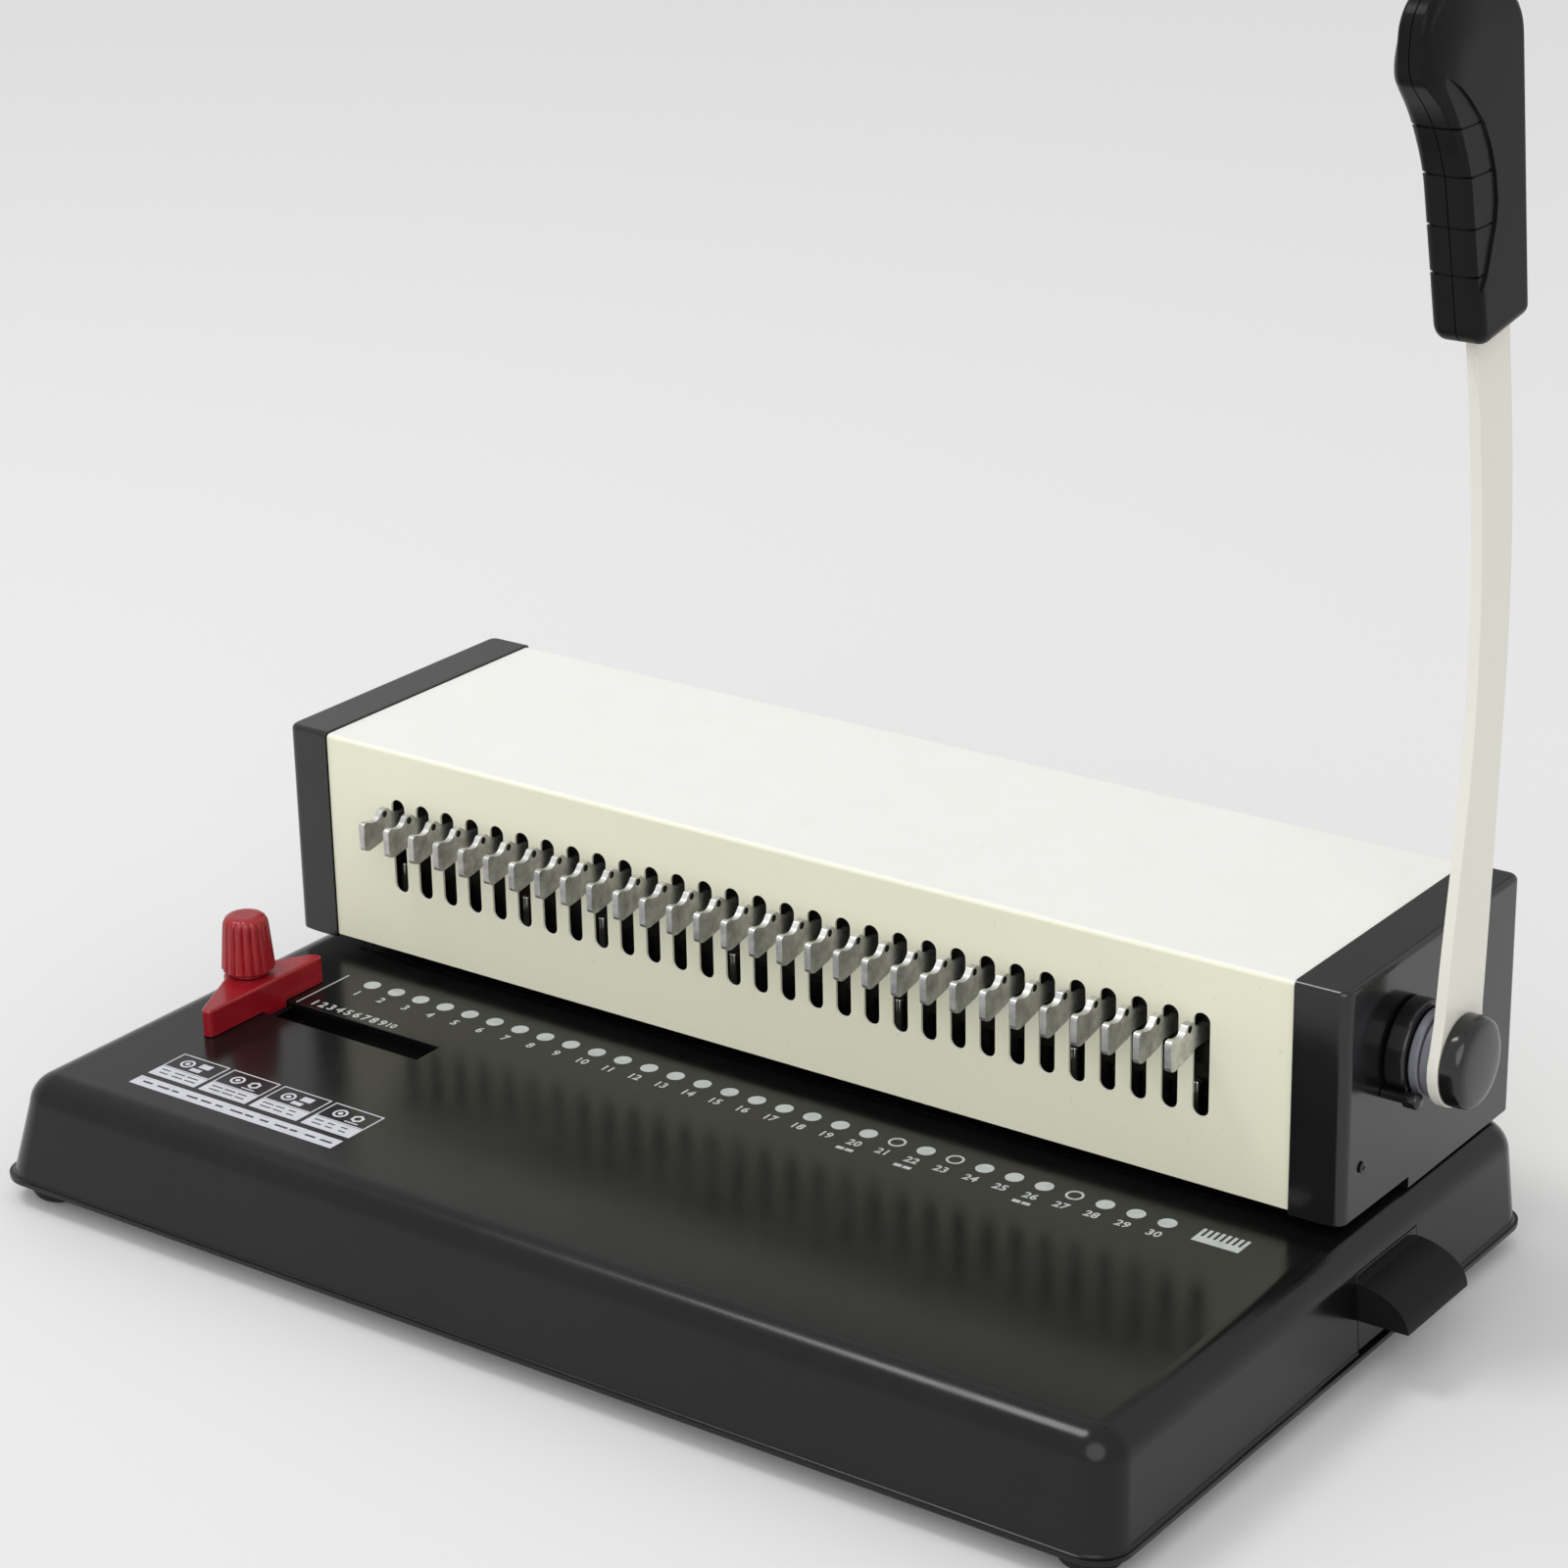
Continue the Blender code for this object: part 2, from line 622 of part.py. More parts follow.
def post_places():
    """Four screw posts, one inside each corner of the base."""
    x = BASE_INNER_X - POST_OFFSET
    return [(-x, BASE_INNER_FRONT + POST_OFFSET), (x, BASE_INNER_FRONT + POST_OFFSET),
            (-x, BASE_INNER_BACK - POST_OFFSET), (x, BASE_INNER_BACK - POST_OFFSET)]


def build_bottom():
    low = (-BASE_INNER_X + GAP, BASE_INNER_FRONT + GAP)
    high = (BASE_INNER_X - GAP, BASE_INNER_BACK - GAP)
    holes = [circle(place, SCREW_RADIUS + GAP, PIN_STEPS) for place in post_places()]
    corner = BASE_CORNER - BASE_WALL
    plate("bottom_plate", [rectangle(low, high, corner), *holes], "Z", BOTTOM_Z,
          BOTTOM_Z + BOTTOM_SHEET, STEEL)
    corners = ("front_left", "front_right", "rear_left", "rear_right")
    foot_x = BASE_INNER_X - FOOT_INSET
    foot_front = BASE_INNER_FRONT + FOOT_INSET
    foot_back = BASE_INNER_BACK - FOOT_INSET
    feet = [(-foot_x, foot_front), (foot_x, foot_front), (-foot_x, foot_back), (foot_x, foot_back)]
    head_top = BOTTOM_Z - GAP
    round_edge = arc((FOOT_RADIUS - FOOT_ROUND, FOOT_ROUND), FOOT_ROUND, 0, -math.pi / 2, BEND_STEPS)
    foot_profile = [(0, head_top), (FOOT_RADIUS, head_top), *round_edge, (0, 0)]
    shank_top = BOTTOM_Z + SCREW_LENGTH - TIP_ROOM
    screw_profile = [(0, shank_top), (SCREW_RADIUS, shank_top), (SCREW_RADIUS, head_top),
                     (SCREW_HEAD_RADIUS, head_top), (SCREW_HEAD_RADIUS, head_top - SCREW_HEAD),
                     (0, head_top - SCREW_HEAD)]
    for corner_name, foot, post in zip(corners, feet, post_places()):
        turned("rubber_foot_" + corner_name, foot_profile, "Z", (*foot, 0), RUBBER)
        turned("base_screw_" + corner_name, screw_profile, "Z", (*post, 0), STEEL, steps=PIN_STEPS)


# Punch unit
def build_frames():
    paper_top = TABLE_Z + PAPER_GAP + GAP
    corners = [(FRAME_FRONT, paper_top, 0), (THROAT_DEPTH, paper_top, 0), (THROAT_DEPTH, TABLE_Z, 0),
               (DIE_FRONT, TABLE_Z, 0), (DIE_FRONT, TABLE_Z - TONGUE_DROP, 0),
               (DIE_BACK, TABLE_Z - TONGUE_DROP, 0), (DIE_BACK, TABLE_Z + GAP, 0),
               (FRAME_BACK, TABLE_Z + GAP, 0), (FRAME_BACK, FRAME_TOP, FRAME_ROUND),
               (FRAME_FRONT, FRAME_TOP, FRAME_ROUND)]
    side = rounded(corners)
    bush_hole = circle((SHAFT_Y, SHAFT_Z), BUSH_RADIUS + GAP, ROUND_STEPS)
    screw_holes = [circle(place, SCREW_RADIUS + GAP, PIN_STEPS) for place in cap_screw_places()]
    outlines = [side, bush_hole, *screw_holes]
    plate("side_frame_left", outlines, "X", -FRAME_OUTER_X, -FRAME_INNER_X, STEEL)
    plate("side_frame_right", outlines, "X", FRAME_INNER_X, FRAME_OUTER_X, STEEL)
    rod("rear_tie_rod", "X", (TIE_Y, TIE_Z), -DIE_HALF, DIE_HALF, TIE_RADIUS, STEEL)


def cap_screw_places():
    height = TABLE_Z + CAP_SCREW_HEIGHT
    return [(CAP_SCREW_FRONT, height), (CAP_SCREW_REAR, height)]


def build_die():
    holes = [circle((x, PIN_Y), PIN_RADIUS + GAP, PIN_STEPS) for x in HOLES]
    die = rectangle((-DIE_HALF, DIE_FRONT), (DIE_HALF, DIE_BACK))
    plate("die_plate", [die, *holes], "Z", TABLE_Z - DIE_SHEET, TABLE_Z, STEEL)
    guide = rectangle((-DIE_HALF, GUIDE_FRONT), (DIE_HALF, DIE_BACK))
    plate("guide_plate", [guide, *holes], "Z", GUIDE_Z, GUIDE_TOP, STEEL)
    block("paper_stop", (-DIE_HALF, PIN_Y + EDGE_TO_HOLE, TABLE_Z + GAP),
          (DIE_HALF, STOP_BACK, GUIDE_Z - GAP), STEEL)


def build_punch():
    strip = block("punch_pins", (-PIN_HALF, PIN_Y - STRIP_WIDTH / 2, STRIP_BOTTOM),
                  (PIN_HALF, PIN_Y + STRIP_WIDTH / 2, STRIP_TOP), STEEL, "punch")
    shanks = [circle((x, PIN_Y), PIN_RADIUS, PIN_STEPS) for x in HOLES]
    join(strip, plate("pin_shanks", shanks, "Z", PIN_TIP_Z, STRIP_BOTTOM + EMBED, None, "punch"))
    block("pressure_bar", (-BAR_HALF, BAR_FRONT, BAR_BOTTOM), (BAR_HALF, BAR_BACK, BAR_TOP), STEEL, "punch")
    for side, x in (("left", -SPRING_X), ("right", SPRING_X)):
        build_spring("return_spring_" + side, x)


def build_spring(name, x):
    """An open coil between the guide plate and the pressure bar."""
    low = GUIDE_TOP + GAP + SPRING_WIRE
    high = BAR_BOTTOM - GAP - SPRING_WIRE
    count = SPRING_TURNS * SPRING_POINTS
    curve = bpy.data.curves.new(name, "CURVE")
    curve.dimensions = "3D"
    curve.bevel_depth = SPRING_WIRE
    curve.bevel_resolution = 0
    curve.use_fill_caps = True
    spline = curve.splines.new("POLY")
    spline.points.add(count)
    for index, point in enumerate(spline.points):
        angle = 2 * math.pi * index / SPRING_POINTS
        height = low + (high - low) * index / count
        point.co = (SPRING_RADIUS * math.cos(angle), SPRING_RADIUS * math.sin(angle), height, 1)
    spring = bpy.data.objects.new(name, curve)
    curve.materials.append(STEEL)
    PARTS.objects.link(spring)
    spring.location = (x, SPRING_Y, 0)
    carry(spring, "punch")


def cam_outline():
    """A hub with one involute flank, which moves a flat bar in step with its own turn."""
    end = CAM_START + LEVER_SWING
    hub_roll = math.sqrt((CAM_HUB / CAM_BASE) ** 2 - 1)
    contact = math.atan2(CAM_START, 1)
    points = []
    for step in range(CAM_POINTS + 1):
        roll = hub_roll + (end - hub_roll) * step / CAM_POINTS
        radius = CAM_BASE * math.sqrt(1 + roll * roll)
        angle = contact - (roll - math.atan(roll)) + (CAM_START - math.atan(CAM_START))
        points.append((radius, angle))
    nose_angle = points[-1][1]
    hub_start = points[0][1]
    back = nose_angle - CAM_NOSE
    sweep = 2 * math.pi - (hub_start - back)
    hub = [(CAM_HUB, back - sweep * step / CAM_POINTS) for step in range(CAM_POINTS)]
    return [(SHAFT_Y - radius * math.cos(angle), SHAFT_Z - radius * math.sin(angle))
            for radius, angle in points + hub]


def build_shaft():
    left = -FRAME_OUTER_X - GAP - BUSH_FLANGE - SHAFT_LEFT_OVERHANG
    shaft = rod("drive_shaft", "X", (SHAFT_Y, SHAFT_Z), left, LEVER_OUTER_X, SHAFT_RADIUS, STEEL, "lever")
    bolt_hole = LEVER_OUTER_X - BOLT_LENGTH - TIP_ROOM
    cut(shaft, rod("bolt_hole", "X", (SHAFT_Y, SHAFT_Z), bolt_hole, LEVER_OUTER_X + OVERRUN,
                   BOLT_RADIUS + GAP, None, "lever"))
    bore = circle((SHAFT_Y, SHAFT_Z), SHAFT_RADIUS + GAP, ROUND_STEPS)
    teeth = pinion_outline()
    for side, sign in (("left", -1), ("right", 1)):
        cam = [sign * CAM_X - CAM_SHEET / 2, sign * CAM_X + CAM_SHEET / 2]
        plate("cam_" + side, [cam_outline(), bore], "X", *cam, STEEL, "lever")
        gear = [sign * PINION_X - PINION_SHEET / 2, sign * PINION_X + PINION_SHEET / 2]
        plate("pinion_" + side, [teeth, bore], "X", *gear, STEEL, "lever")
        build_bush("shaft_bush_" + side, sign)
    ring_low = left + GAP
    ring("retaining_ring", "X", (SHAFT_Y, SHAFT_Z), ring_low, ring_low + RING_SHEET, RING_RADIUS,
         SHAFT_RADIUS + GAP, STEEL, "lever")


def build_bush(name, sign):
    inner = SHAFT_RADIUS + GAP
    inside = FRAME_INNER_X
    flange = FRAME_OUTER_X + GAP
    end = flange + BUSH_FLANGE
    profile = [(inner, end), (BUSH_FLANGE_RADIUS, end), (BUSH_FLANGE_RADIUS, flange),
               (BUSH_RADIUS, flange), (BUSH_RADIUS, inside), (inner, inside)]
    if sign < 0:
        profile = [(radius, -height) for radius, height in reversed(profile)]
    turned(name, profile, "X", (0, SHAFT_Y, SHAFT_Z), BRONZE, closed=True)


# Ring opener
def tooth_shape():
    """Half widths of a tooth at its root and its tip, and its height above and below the pitch line."""
    return (TOOTH_PITCH * TOOTH_ROOT_SHARE, TOOTH_PITCH * TOOTH_TIP_SHARE,
            TOOTH_MODULE * TOOTH_ABOVE_SHARE, TOOTH_MODULE * TOOTH_BELOW_SHARE)


def pinion_outline():
    root_half, tip_half, above, below = tooth_shape()
    points = []
    for index in range(TOOTH_COUNT):
        middle = math.pi - 2 * math.pi * index / TOOTH_COUNT
        for half, radius in ((root_half, PITCH_RADIUS - below), (tip_half, PITCH_RADIUS + above),
                             (-tip_half, PITCH_RADIUS + above), (-root_half, PITCH_RADIUS - below)):
            angle = middle + half / PITCH_RADIUS
            points.append((SHAFT_Y + radius * math.cos(angle), SHAFT_Z + radius * math.sin(angle)))
    return points


def rack_outline():
    root_half, tip_half, above, below = tooth_shape()
    root_y = RACK_LINE_Y - below
    tip_y = RACK_LINE_Y + above
    points = [(RAIL_BACK + GAP, RACK_BOTTOM), (root_y, RACK_BOTTOM)]
    lowest = math.ceil((RACK_BOTTOM + root_half - SHAFT_Z) / TOOTH_PITCH - 1 / 2)
    highest = math.floor((RACK_TOP - root_half - SHAFT_Z) / TOOTH_PITCH - 1 / 2)
    for index in range(lowest, highest + 1):
        middle = SHAFT_Z + (index + 1 / 2) * TOOTH_PITCH
        points += [(root_y, middle - root_half), (tip_y, middle - tip_half),
                   (tip_y, middle + tip_half), (root_y, middle + root_half)]
    return points + [(root_y, RACK_TOP), (RAIL_BACK + GAP, RACK_TOP)]


# Hook outline: shares of its reach in front of the cover and of its height below the slot's top
HOOK_SHARES = [
    (0.00, 0.28), (0.16, 0.20), (0.24, 0.30), (0.27, 0.46), (0.35, 0.50), (0.43, 0.40), (0.47, 0.22),
    (0.60, 0.10), (0.78, 0.05), (0.93, 0.16), (1.00, 0.36), (1.00, 0.72), (0.94, 0.92), (0.82, 1.00),
    (0.66, 0.96), (0.48, 0.88), (0.00, 0.86)]


def build_opener():
    rail = block("hook_rail", (-DIE_HALF, RAIL_FRONT, RAIL_TOP - RAIL_HEIGHT),
                 (DIE_HALF, RAIL_BACK, RAIL_TOP), PLATED_STEEL, "opener")
    nose = [(-HOOK_REACH * reach, SLOT_TOP - HOOK_HEIGHT * drop) for reach, drop in HOOK_SHARES]
    inside = RAIL_FRONT + EMBED
    hook = [(inside, nose[0][1]), *nose, (inside, nose[-1][1])]
    worked = bmesh.new()
    for x in HOLES:
        one = plate("one_hook", [hook], "X", x - HOOK_SHEET / 2, x + HOOK_SHEET / 2, None)
        worked.from_mesh(one.data)
        bpy.data.objects.remove(one, do_unlink=True)
    join(rail, finish(worked, "hook_shapes", None, "opener"))
    for side, sign in (("left", -1), ("right", 1)):
        plate("hook_rack_" + side, [rack_outline()], "X", sign * PINION_X - PINION_SHEET / 2,
              sign * PINION_X + PINION_SHEET / 2, STEEL, "opener")


# Covers
def build_cover():
    foot = TABLE_Z + GAP
    inner_bend = COVER_BEND - COVER_SHEET
    inner_back = COVER_DEPTH - COVER_SHEET
    outer = [(0, COVER_BOTTOM, 0), (0, COVER_TOP, COVER_BEND), (COVER_DEPTH, COVER_TOP, COVER_BEND),
             (COVER_DEPTH, foot, 0)]
    inner = [(inner_back, foot, 0), (inner_back, CEILING, inner_bend), (COVER_SHEET, CEILING, inner_bend),
             (COVER_SHEET, COVER_BOTTOM, 0)]
    cover = plate("punch_cover", [rounded(outer + inner)], "X", -COVER_HALF, COVER_HALF, CREAM_PAINT)
    slots = [stadium(x, SLOT_BOTTOM, SLOT_TOP, SLOT_WIDTH) for x in HOLES]
    cut(cover, plate("slot_shapes", slots, "Y", -OVERRUN, RAIL_FRONT - GAP, None))
    smooth(cover)


def build_caps():
    front, back = -CAP_PROUD, COVER_DEPTH + CAP_PROUD
    low, high = TABLE_Z + GAP, COVER_TOP + CAP_PROUD
    notch = TABLE_Z + CAP_NOTCH_HEIGHT
    corners = [(front, notch, CAP_EDGE), (front, high, CAP_EDGE), (back, high, CAP_EDGE),
               (back, low, CAP_EDGE), (CAP_NOTCH_DEPTH, low, 0), (CAP_NOTCH_DEPTH, notch, 0)]
    wall_front, wall_back, wall_top = front + CAP_WALL, back - CAP_WALL, high - CAP_WALL
    step, floor, step_floor = CAP_NOTCH_DEPTH + CAP_WALL, low + CAP_WALL, notch + CAP_WALL
    hollow = [(wall_front, step_floor, 0), (wall_front, wall_top, 0), (wall_back, wall_top, 0),
              (wall_back, floor, 0), (step, floor, 0), (step, step_floor, 0)]
    for side, sign, cap_x in (("left", -1, LEFT_CAP_X), ("right", 1, RIGHT_CAP_X)):
        inner_x, outer_x = sorted((sign * CAP_INNER_X, sign * cap_x))
        cap = plate("end_cap_" + side, [rounded(corners)], "X", inner_x, outer_x, BLACK_PLASTIC)
        bevel(cap, CAP_SIDE_EDGE, 2,
              lambda edge: all(abs(vert.co.x) > cap_x - EMBED for vert in edge.verts))
        low_x, high_x = sorted((sign * (CAP_INNER_X - OVERRUN), sign * (cap_x - CAP_WALL)))
        cut(cap, plate("cap_hollow_" + side, [rounded(hollow)], "X", low_x, high_x, None))
        holes = [circle(place, SCREW_RADIUS + GAP, PIN_STEPS) for place in cap_screw_places()]
        if sign > 0:
            holes.append(circle((SHAFT_Y, SHAFT_Z), SHAFT_RADIUS + GAP, ROUND_STEPS))
        low_x, high_x = sorted((sign * (cap_x - CAP_WALL - OVERRUN), sign * (cap_x + OVERRUN)))
        cut(cap, plate("cap_holes_" + side, holes, "X", low_x, high_x, None))
        smooth(cap)
        build_cap_screws(side, sign, cap_x + GAP)


def build_cap_screws(side, sign, seat):
    tip = FRAME_INNER_X
    profile = [(0, seat + CAP_SCREW_HEAD), (SCREW_HEAD_RADIUS, seat + CAP_SCREW_HEAD),
               (SCREW_HEAD_RADIUS, seat), (SCREW_RADIUS, seat), (SCREW_RADIUS, tip), (0, tip)]
    if sign < 0:
        profile = [(radius, -height) for radius, height in reversed(profile)]
    for end, (y, z) in zip(("front", "rear"), cap_screw_places()):
        turned("cap_screw_" + side + "_" + end, profile, "X", (0, y, z), BLACK_PLASTIC, steps=PIN_STEPS)


# Lever
def lever_centre(share):
    """The bowed middle line of the lever bar, from the pivot at 0 to the grip at 1 and on into it."""
    along = min(share, 1)
    bow = LEVER_BOW * math.sin(math.pi * along ** LEVER_BOW_POWER)
    lean = LEVER_BOW * math.pi * LEVER_BOW_POWER * max(share - 1, 0)
    return Vector((SHAFT_Y + bow - lean, SHAFT_Z + LEVER_LENGTH * share))


def lever_width(share):
    if share < 1 / 2:
        blend = (1 + math.cos(2 * math.pi * share)) / 2
        return LEVER_WAIST_WIDTH + (LEVER_ROOT_WIDTH - LEVER_WAIST_WIDTH) * blend
    blend = 2 * min(share, 1) - 1
    return LEVER_WAIST_WIDTH + (LEVER_TOP_WIDTH - LEVER_WAIST_WIDTH) * blend


def lever_side(share, width, side):
    step = 1 / (LEVER_POINTS * LEVER_POINTS)
    run = (lever_centre(share + step) - lever_centre(share - step)).normalized()
    return tuple(lever_centre(share) + Vector((run.y, -run.x)) * width / 2 * side)


def strip_outline(width, low, high):
    """A piece of the lever's middle line, widened to both sides; low and high are lengths past its end."""
    ends = [(1 + low / LEVER_LENGTH, 1), (1 + high / LEVER_LENGTH, 1),
            (1 + high / LEVER_LENGTH, -1), (1 + low / LEVER_LENGTH, -1)]
    return [lever_side(share, width, side) for share, side in ends]


def build_lever():
    first = EYE_RADIUS / LEVER_LENGTH
    shares = [first + (1 - first) * index / LEVER_POINTS for index in range(LEVER_POINTS + 1)]
    shares.append(1 + MOUTH_DEPTH / LEVER_LENGTH)
    back = [lever_side(share, lever_width(share), 1) for share in shares]
    front = [lever_side(share, lever_width(share), -1) for share in reversed(shares)]
    tang = strip_outline(TANG_WIDTH, MOUTH_DEPTH, TANG_LENGTH)
    eye = arc((SHAFT_Y, SHAFT_Z), EYE_RADIUS, math.radians(155), math.radians(385), EYE_POINTS)
    bore = circle((SHAFT_Y, SHAFT_Z), SHAFT_RADIUS + GAP, ROUND_STEPS)
    holes = [circle(place, GRIP_SCREW_RADIUS + GAP, PIN_STEPS) for place in grip_screw_places()]
    bar = plate("lever_bar", [eye + back + tang + front, bore, *holes], "X", LEVER_X, LEVER_OUTER_X,
                IVORY_PAINT, "lever")
    smooth(bar)


def grip_screw_places():
    return [tuple(lever_centre(1 + TANG_LENGTH * share / LEVER_LENGTH))
            for share in (GRIP_SCREW_LOW_SHARE, GRIP_SCREW_HIGH_SHARE)]


# Grip corners: shares of its depth from the back and of its length from the bottom, then the radius
# of the corner as a share of the depth
GRIP_SHARES = [
    (0.000, 0.045, 0.036), (0.207, 1.000, 0.324), (0.977, 0.987, 0.162), (1.000, 0.791, 0.072),
    (0.674, 0.594, 0.900), (0.459, 0.000, 0.036)]


def grip_outline():
    back = SHAFT_Y + GRIP_BEHIND_PIVOT
    bottom = SHAFT_Z + LEVER_LENGTH - GRIP_BELOW_BAR_END
    return rounded([(back - GRIP_DEPTH * forward, bottom + GRIP_LENGTH * upward, GRIP_DEPTH * corner)
                    for forward, upward, corner in GRIP_SHARES], GRIP_BEND_STEPS)


def build_grip():
    outline = grip_outline()
    room = 2 * GAP
    pocket = [strip_outline(TANG_WIDTH + room, 0, TANG_LENGTH + GAP)]
    mouth = [strip_outline(LEVER_TOP_WIDTH + room, -OVERRUN, MOUTH_DEPTH + GAP)]
    holes = [circle(place, GRIP_SCREW_RADIUS + GAP, PIN_STEPS) for place in grip_screw_places()]
    heads = [circle(place, GRIP_SCREW_HEAD_RADIUS + GAP, PIN_STEPS) for place in grip_screw_places()]
    left_x, right_x = GRIP_X - GRIP_THICKNESS / 2, GRIP_X + GRIP_THICKNESS / 2
    sink = left_x + GRIP_SCREW_HEAD
    tip = LEVER_OUTER_X + GRIP_SCREW_BITE
    low, high = LEVER_X - GAP, LEVER_OUTER_X + GAP
    for side, sign, outer_x in (("left", -1, left_x), ("right", 1, right_x)):
        inner_x = GRIP_X + sign * GAP / 2
        span = sorted((inner_x, outer_x))
        half = plate("grip_half_" + side, [outline], "X", *span, BLACK_PLASTIC, "lever")
        bevel(half, GRIP_EDGE, GRIP_EDGE_STEPS,
              lambda edge: all(abs(vert.co.x - outer_x) < EMBED for vert in edge.verts))
        cut(half, plate("grip_pocket_" + side, pocket, "X", low, high, None, "lever"),
            plate("grip_mouth_" + side, mouth, "X", low, high, None, "lever"))
        if sign < 0:
            cut(half, plate("grip_screw_sinks", heads, "X", left_x - OVERRUN, sink + GAP, None, "lever"),
                plate("grip_screw_holes", holes, "X", left_x - OVERRUN / 2, GRIP_X, None, "lever"))
        else:
            cut(half, plate("grip_pilot_holes", holes, "X", GRIP_X, tip + GAP, None, "lever"))
        smooth(half)
    profile = [(0, tip), (GRIP_SCREW_RADIUS, tip), (GRIP_SCREW_RADIUS, sink), (GRIP_SCREW_HEAD_RADIUS, sink),
               (GRIP_SCREW_HEAD_RADIUS, left_x), (0, left_x)]
    for name, (y, z) in zip(("grip_screw_lower", "grip_screw_upper"), grip_screw_places()):
        turned(name, profile, "X", (0, y, z), STEEL, "lever", steps=PIN_STEPS)


def build_pivot():
    bore = SHAFT_RADIUS + GAP
    step_x = BOSS_LENGTH - BOSS_STEP
    boss = [(bore, BOSS_LENGTH), (BOSS_STEP_RADIUS, BOSS_LENGTH), (BOSS_STEP_RADIUS, step_x),
            (BOSS_RADIUS, step_x), (BOSS_RADIUS, 0), (bore, 0)]
    base = turned("bearing_boss", boss, "X", (BOSS_X, SHAFT_Y, SHAFT_Z), BLACK_PLASTIC, closed=True)
    pin_place = (SHAFT_Y - STOP_PIN_FORWARD, SHAFT_Z - STOP_PIN_DROP)
    cut(base, rod("pin_seat", "X", pin_place, BOSS_X - OVERRUN, BOSS_X + BOSS_LENGTH + OVERRUN,
                  STOP_PIN_RADIUS + GAP, None, steps=PIN_STEPS))
    smooth(base)
    centre = (SHAFT_Y, SHAFT_Z)
    ring("spacer_washer_inner", "X", centre, WASHER_X, WASHER_X + WASHER_SHEET, WASHER_RADIUS, bore,
         GREY_NYLON, "lever")
    ring("spacer_washer_outer", "X", centre, WASHER_OUTER_X, WASHER_OUTER_X + WASHER_SHEET,
         WASHER_RADIUS, bore, GREY_NYLON, "lever")
    bolt = [(0, BOLT_HEAD), (BOLT_HEAD_RADIUS, BOLT_HEAD), (BOLT_HEAD_RADIUS, 0), (BOLT_RADIUS, 0),
            (BOLT_RADIUS, -BOLT_LENGTH), (0, -BOLT_LENGTH)]
    turned("pivot_bolt", bolt, "X", (BOLT_X, SHAFT_Y, SHAFT_Z), STEEL, "lever", steps=PIN_STEPS)
    dome = dome_points(PIVOT_CAP_RADIUS, PIVOT_CAP_RIM, PIVOT_CAP_DOME)
    hollow = BOLT_HEAD + GAP
    inner = BOLT_HEAD_RADIUS + GAP
    cap = [*dome, (PIVOT_CAP_RADIUS, 0), (inner, 0), (inner, hollow), (0, hollow)]
    turned("pivot_cap", cap, "X", (BOLT_X, SHAFT_Y, SHAFT_Z), BLACK_PLASTIC, "lever")
    rod("stop_pin", "X", pin_place, BOSS_X, BOSS_X + STOP_PIN_LENGTH, STOP_PIN_RADIUS, BLACK_PLASTIC,
        steps=PIN_STEPS)


def dome_points(radius, rim, rise):
    """Down a shallow dome from its middle to its rim."""
    angles = [math.pi / 2 * step / PIVOT_CAP_STEPS for step in range(PIVOT_CAP_STEPS + 1)]
    return [(radius * math.sin(angle), rim + rise * math.cos(angle)) for angle in angles]


# Chip tray
def build_tray():
    """The drawer for the punched chips: a floor, two long sides and a left end; the pull's panel closes it."""
    right = PANEL_X - GAP
    floor_top = TRAY_BOTTOM + TRAY_WALL
    side_bottom = floor_top + GAP
    front_inside = TRAY_FRONT + TRAY_WALL
    back_inside = TRAY_BACK - TRAY_WALL
    block("tray_floor", (TRAY_LEFT, TRAY_FRONT, TRAY_BOTTOM), (right, TRAY_BACK, floor_top),
          BLACK_PLASTIC, "tray")
    block("tray_side_front", (TRAY_LEFT, TRAY_FRONT, side_bottom), (right, front_inside, TRAY_TOP),
          BLACK_PLASTIC, "tray")
    block("tray_side_rear", (TRAY_LEFT, back_inside, side_bottom), (right, TRAY_BACK, TRAY_TOP),
          BLACK_PLASTIC, "tray")
    block("tray_left_end", (TRAY_LEFT, front_inside + GAP, side_bottom),
          (TRAY_LEFT + TRAY_WALL, back_inside - GAP, TRAY_TOP), BLACK_PLASTIC, "tray")


def build_pull():
    """The tray's front panel with a quarter-round pull, open below for the fingers."""
    panel = block("tray_pull", (PANEL_X, TRAY_FRONT, TRAY_BOTTOM), (PULL_X, TRAY_BACK, TRAY_TOP),
                  BLACK_PLASTIC, "tray")
    pull_low = TRAY_TOP - PULL_HEIGHT - EMBED
    centre = (PULL_X - EMBED, pull_low)
    outer = quarter(centre, PULL_REACH + EMBED, PULL_HEIGHT)
    inner = quarter(centre, PULL_REACH + EMBED - PULL_WALL, PULL_HEIGHT - PULL_WALL)
    lip = plate("pull_lip", [outer + inner[::-1]], "Y", TRAY_FRONT, TRAY_BACK, None, "tray")
    cheek = outer + [centre]
    near = plate("pull_near_cheek", [cheek], "Y", TRAY_FRONT, TRAY_FRONT + PULL_WALL, None, "tray")
    far = plate("pull_far_cheek", [cheek], "Y", TRAY_BACK - PULL_WALL, TRAY_BACK, None, "tray")
    join(panel, lip, near, far)
    smooth(panel)


def quarter(centre, reach, height):
    """A quarter of an ellipse, from its top to its outer end."""
    return [(centre[0] + reach * math.sin(math.pi / 2 * step / PULL_STEPS),
             centre[1] + height * math.cos(math.pi / 2 * step / PULL_STEPS))
            for step in range(PULL_STEPS + 1)]


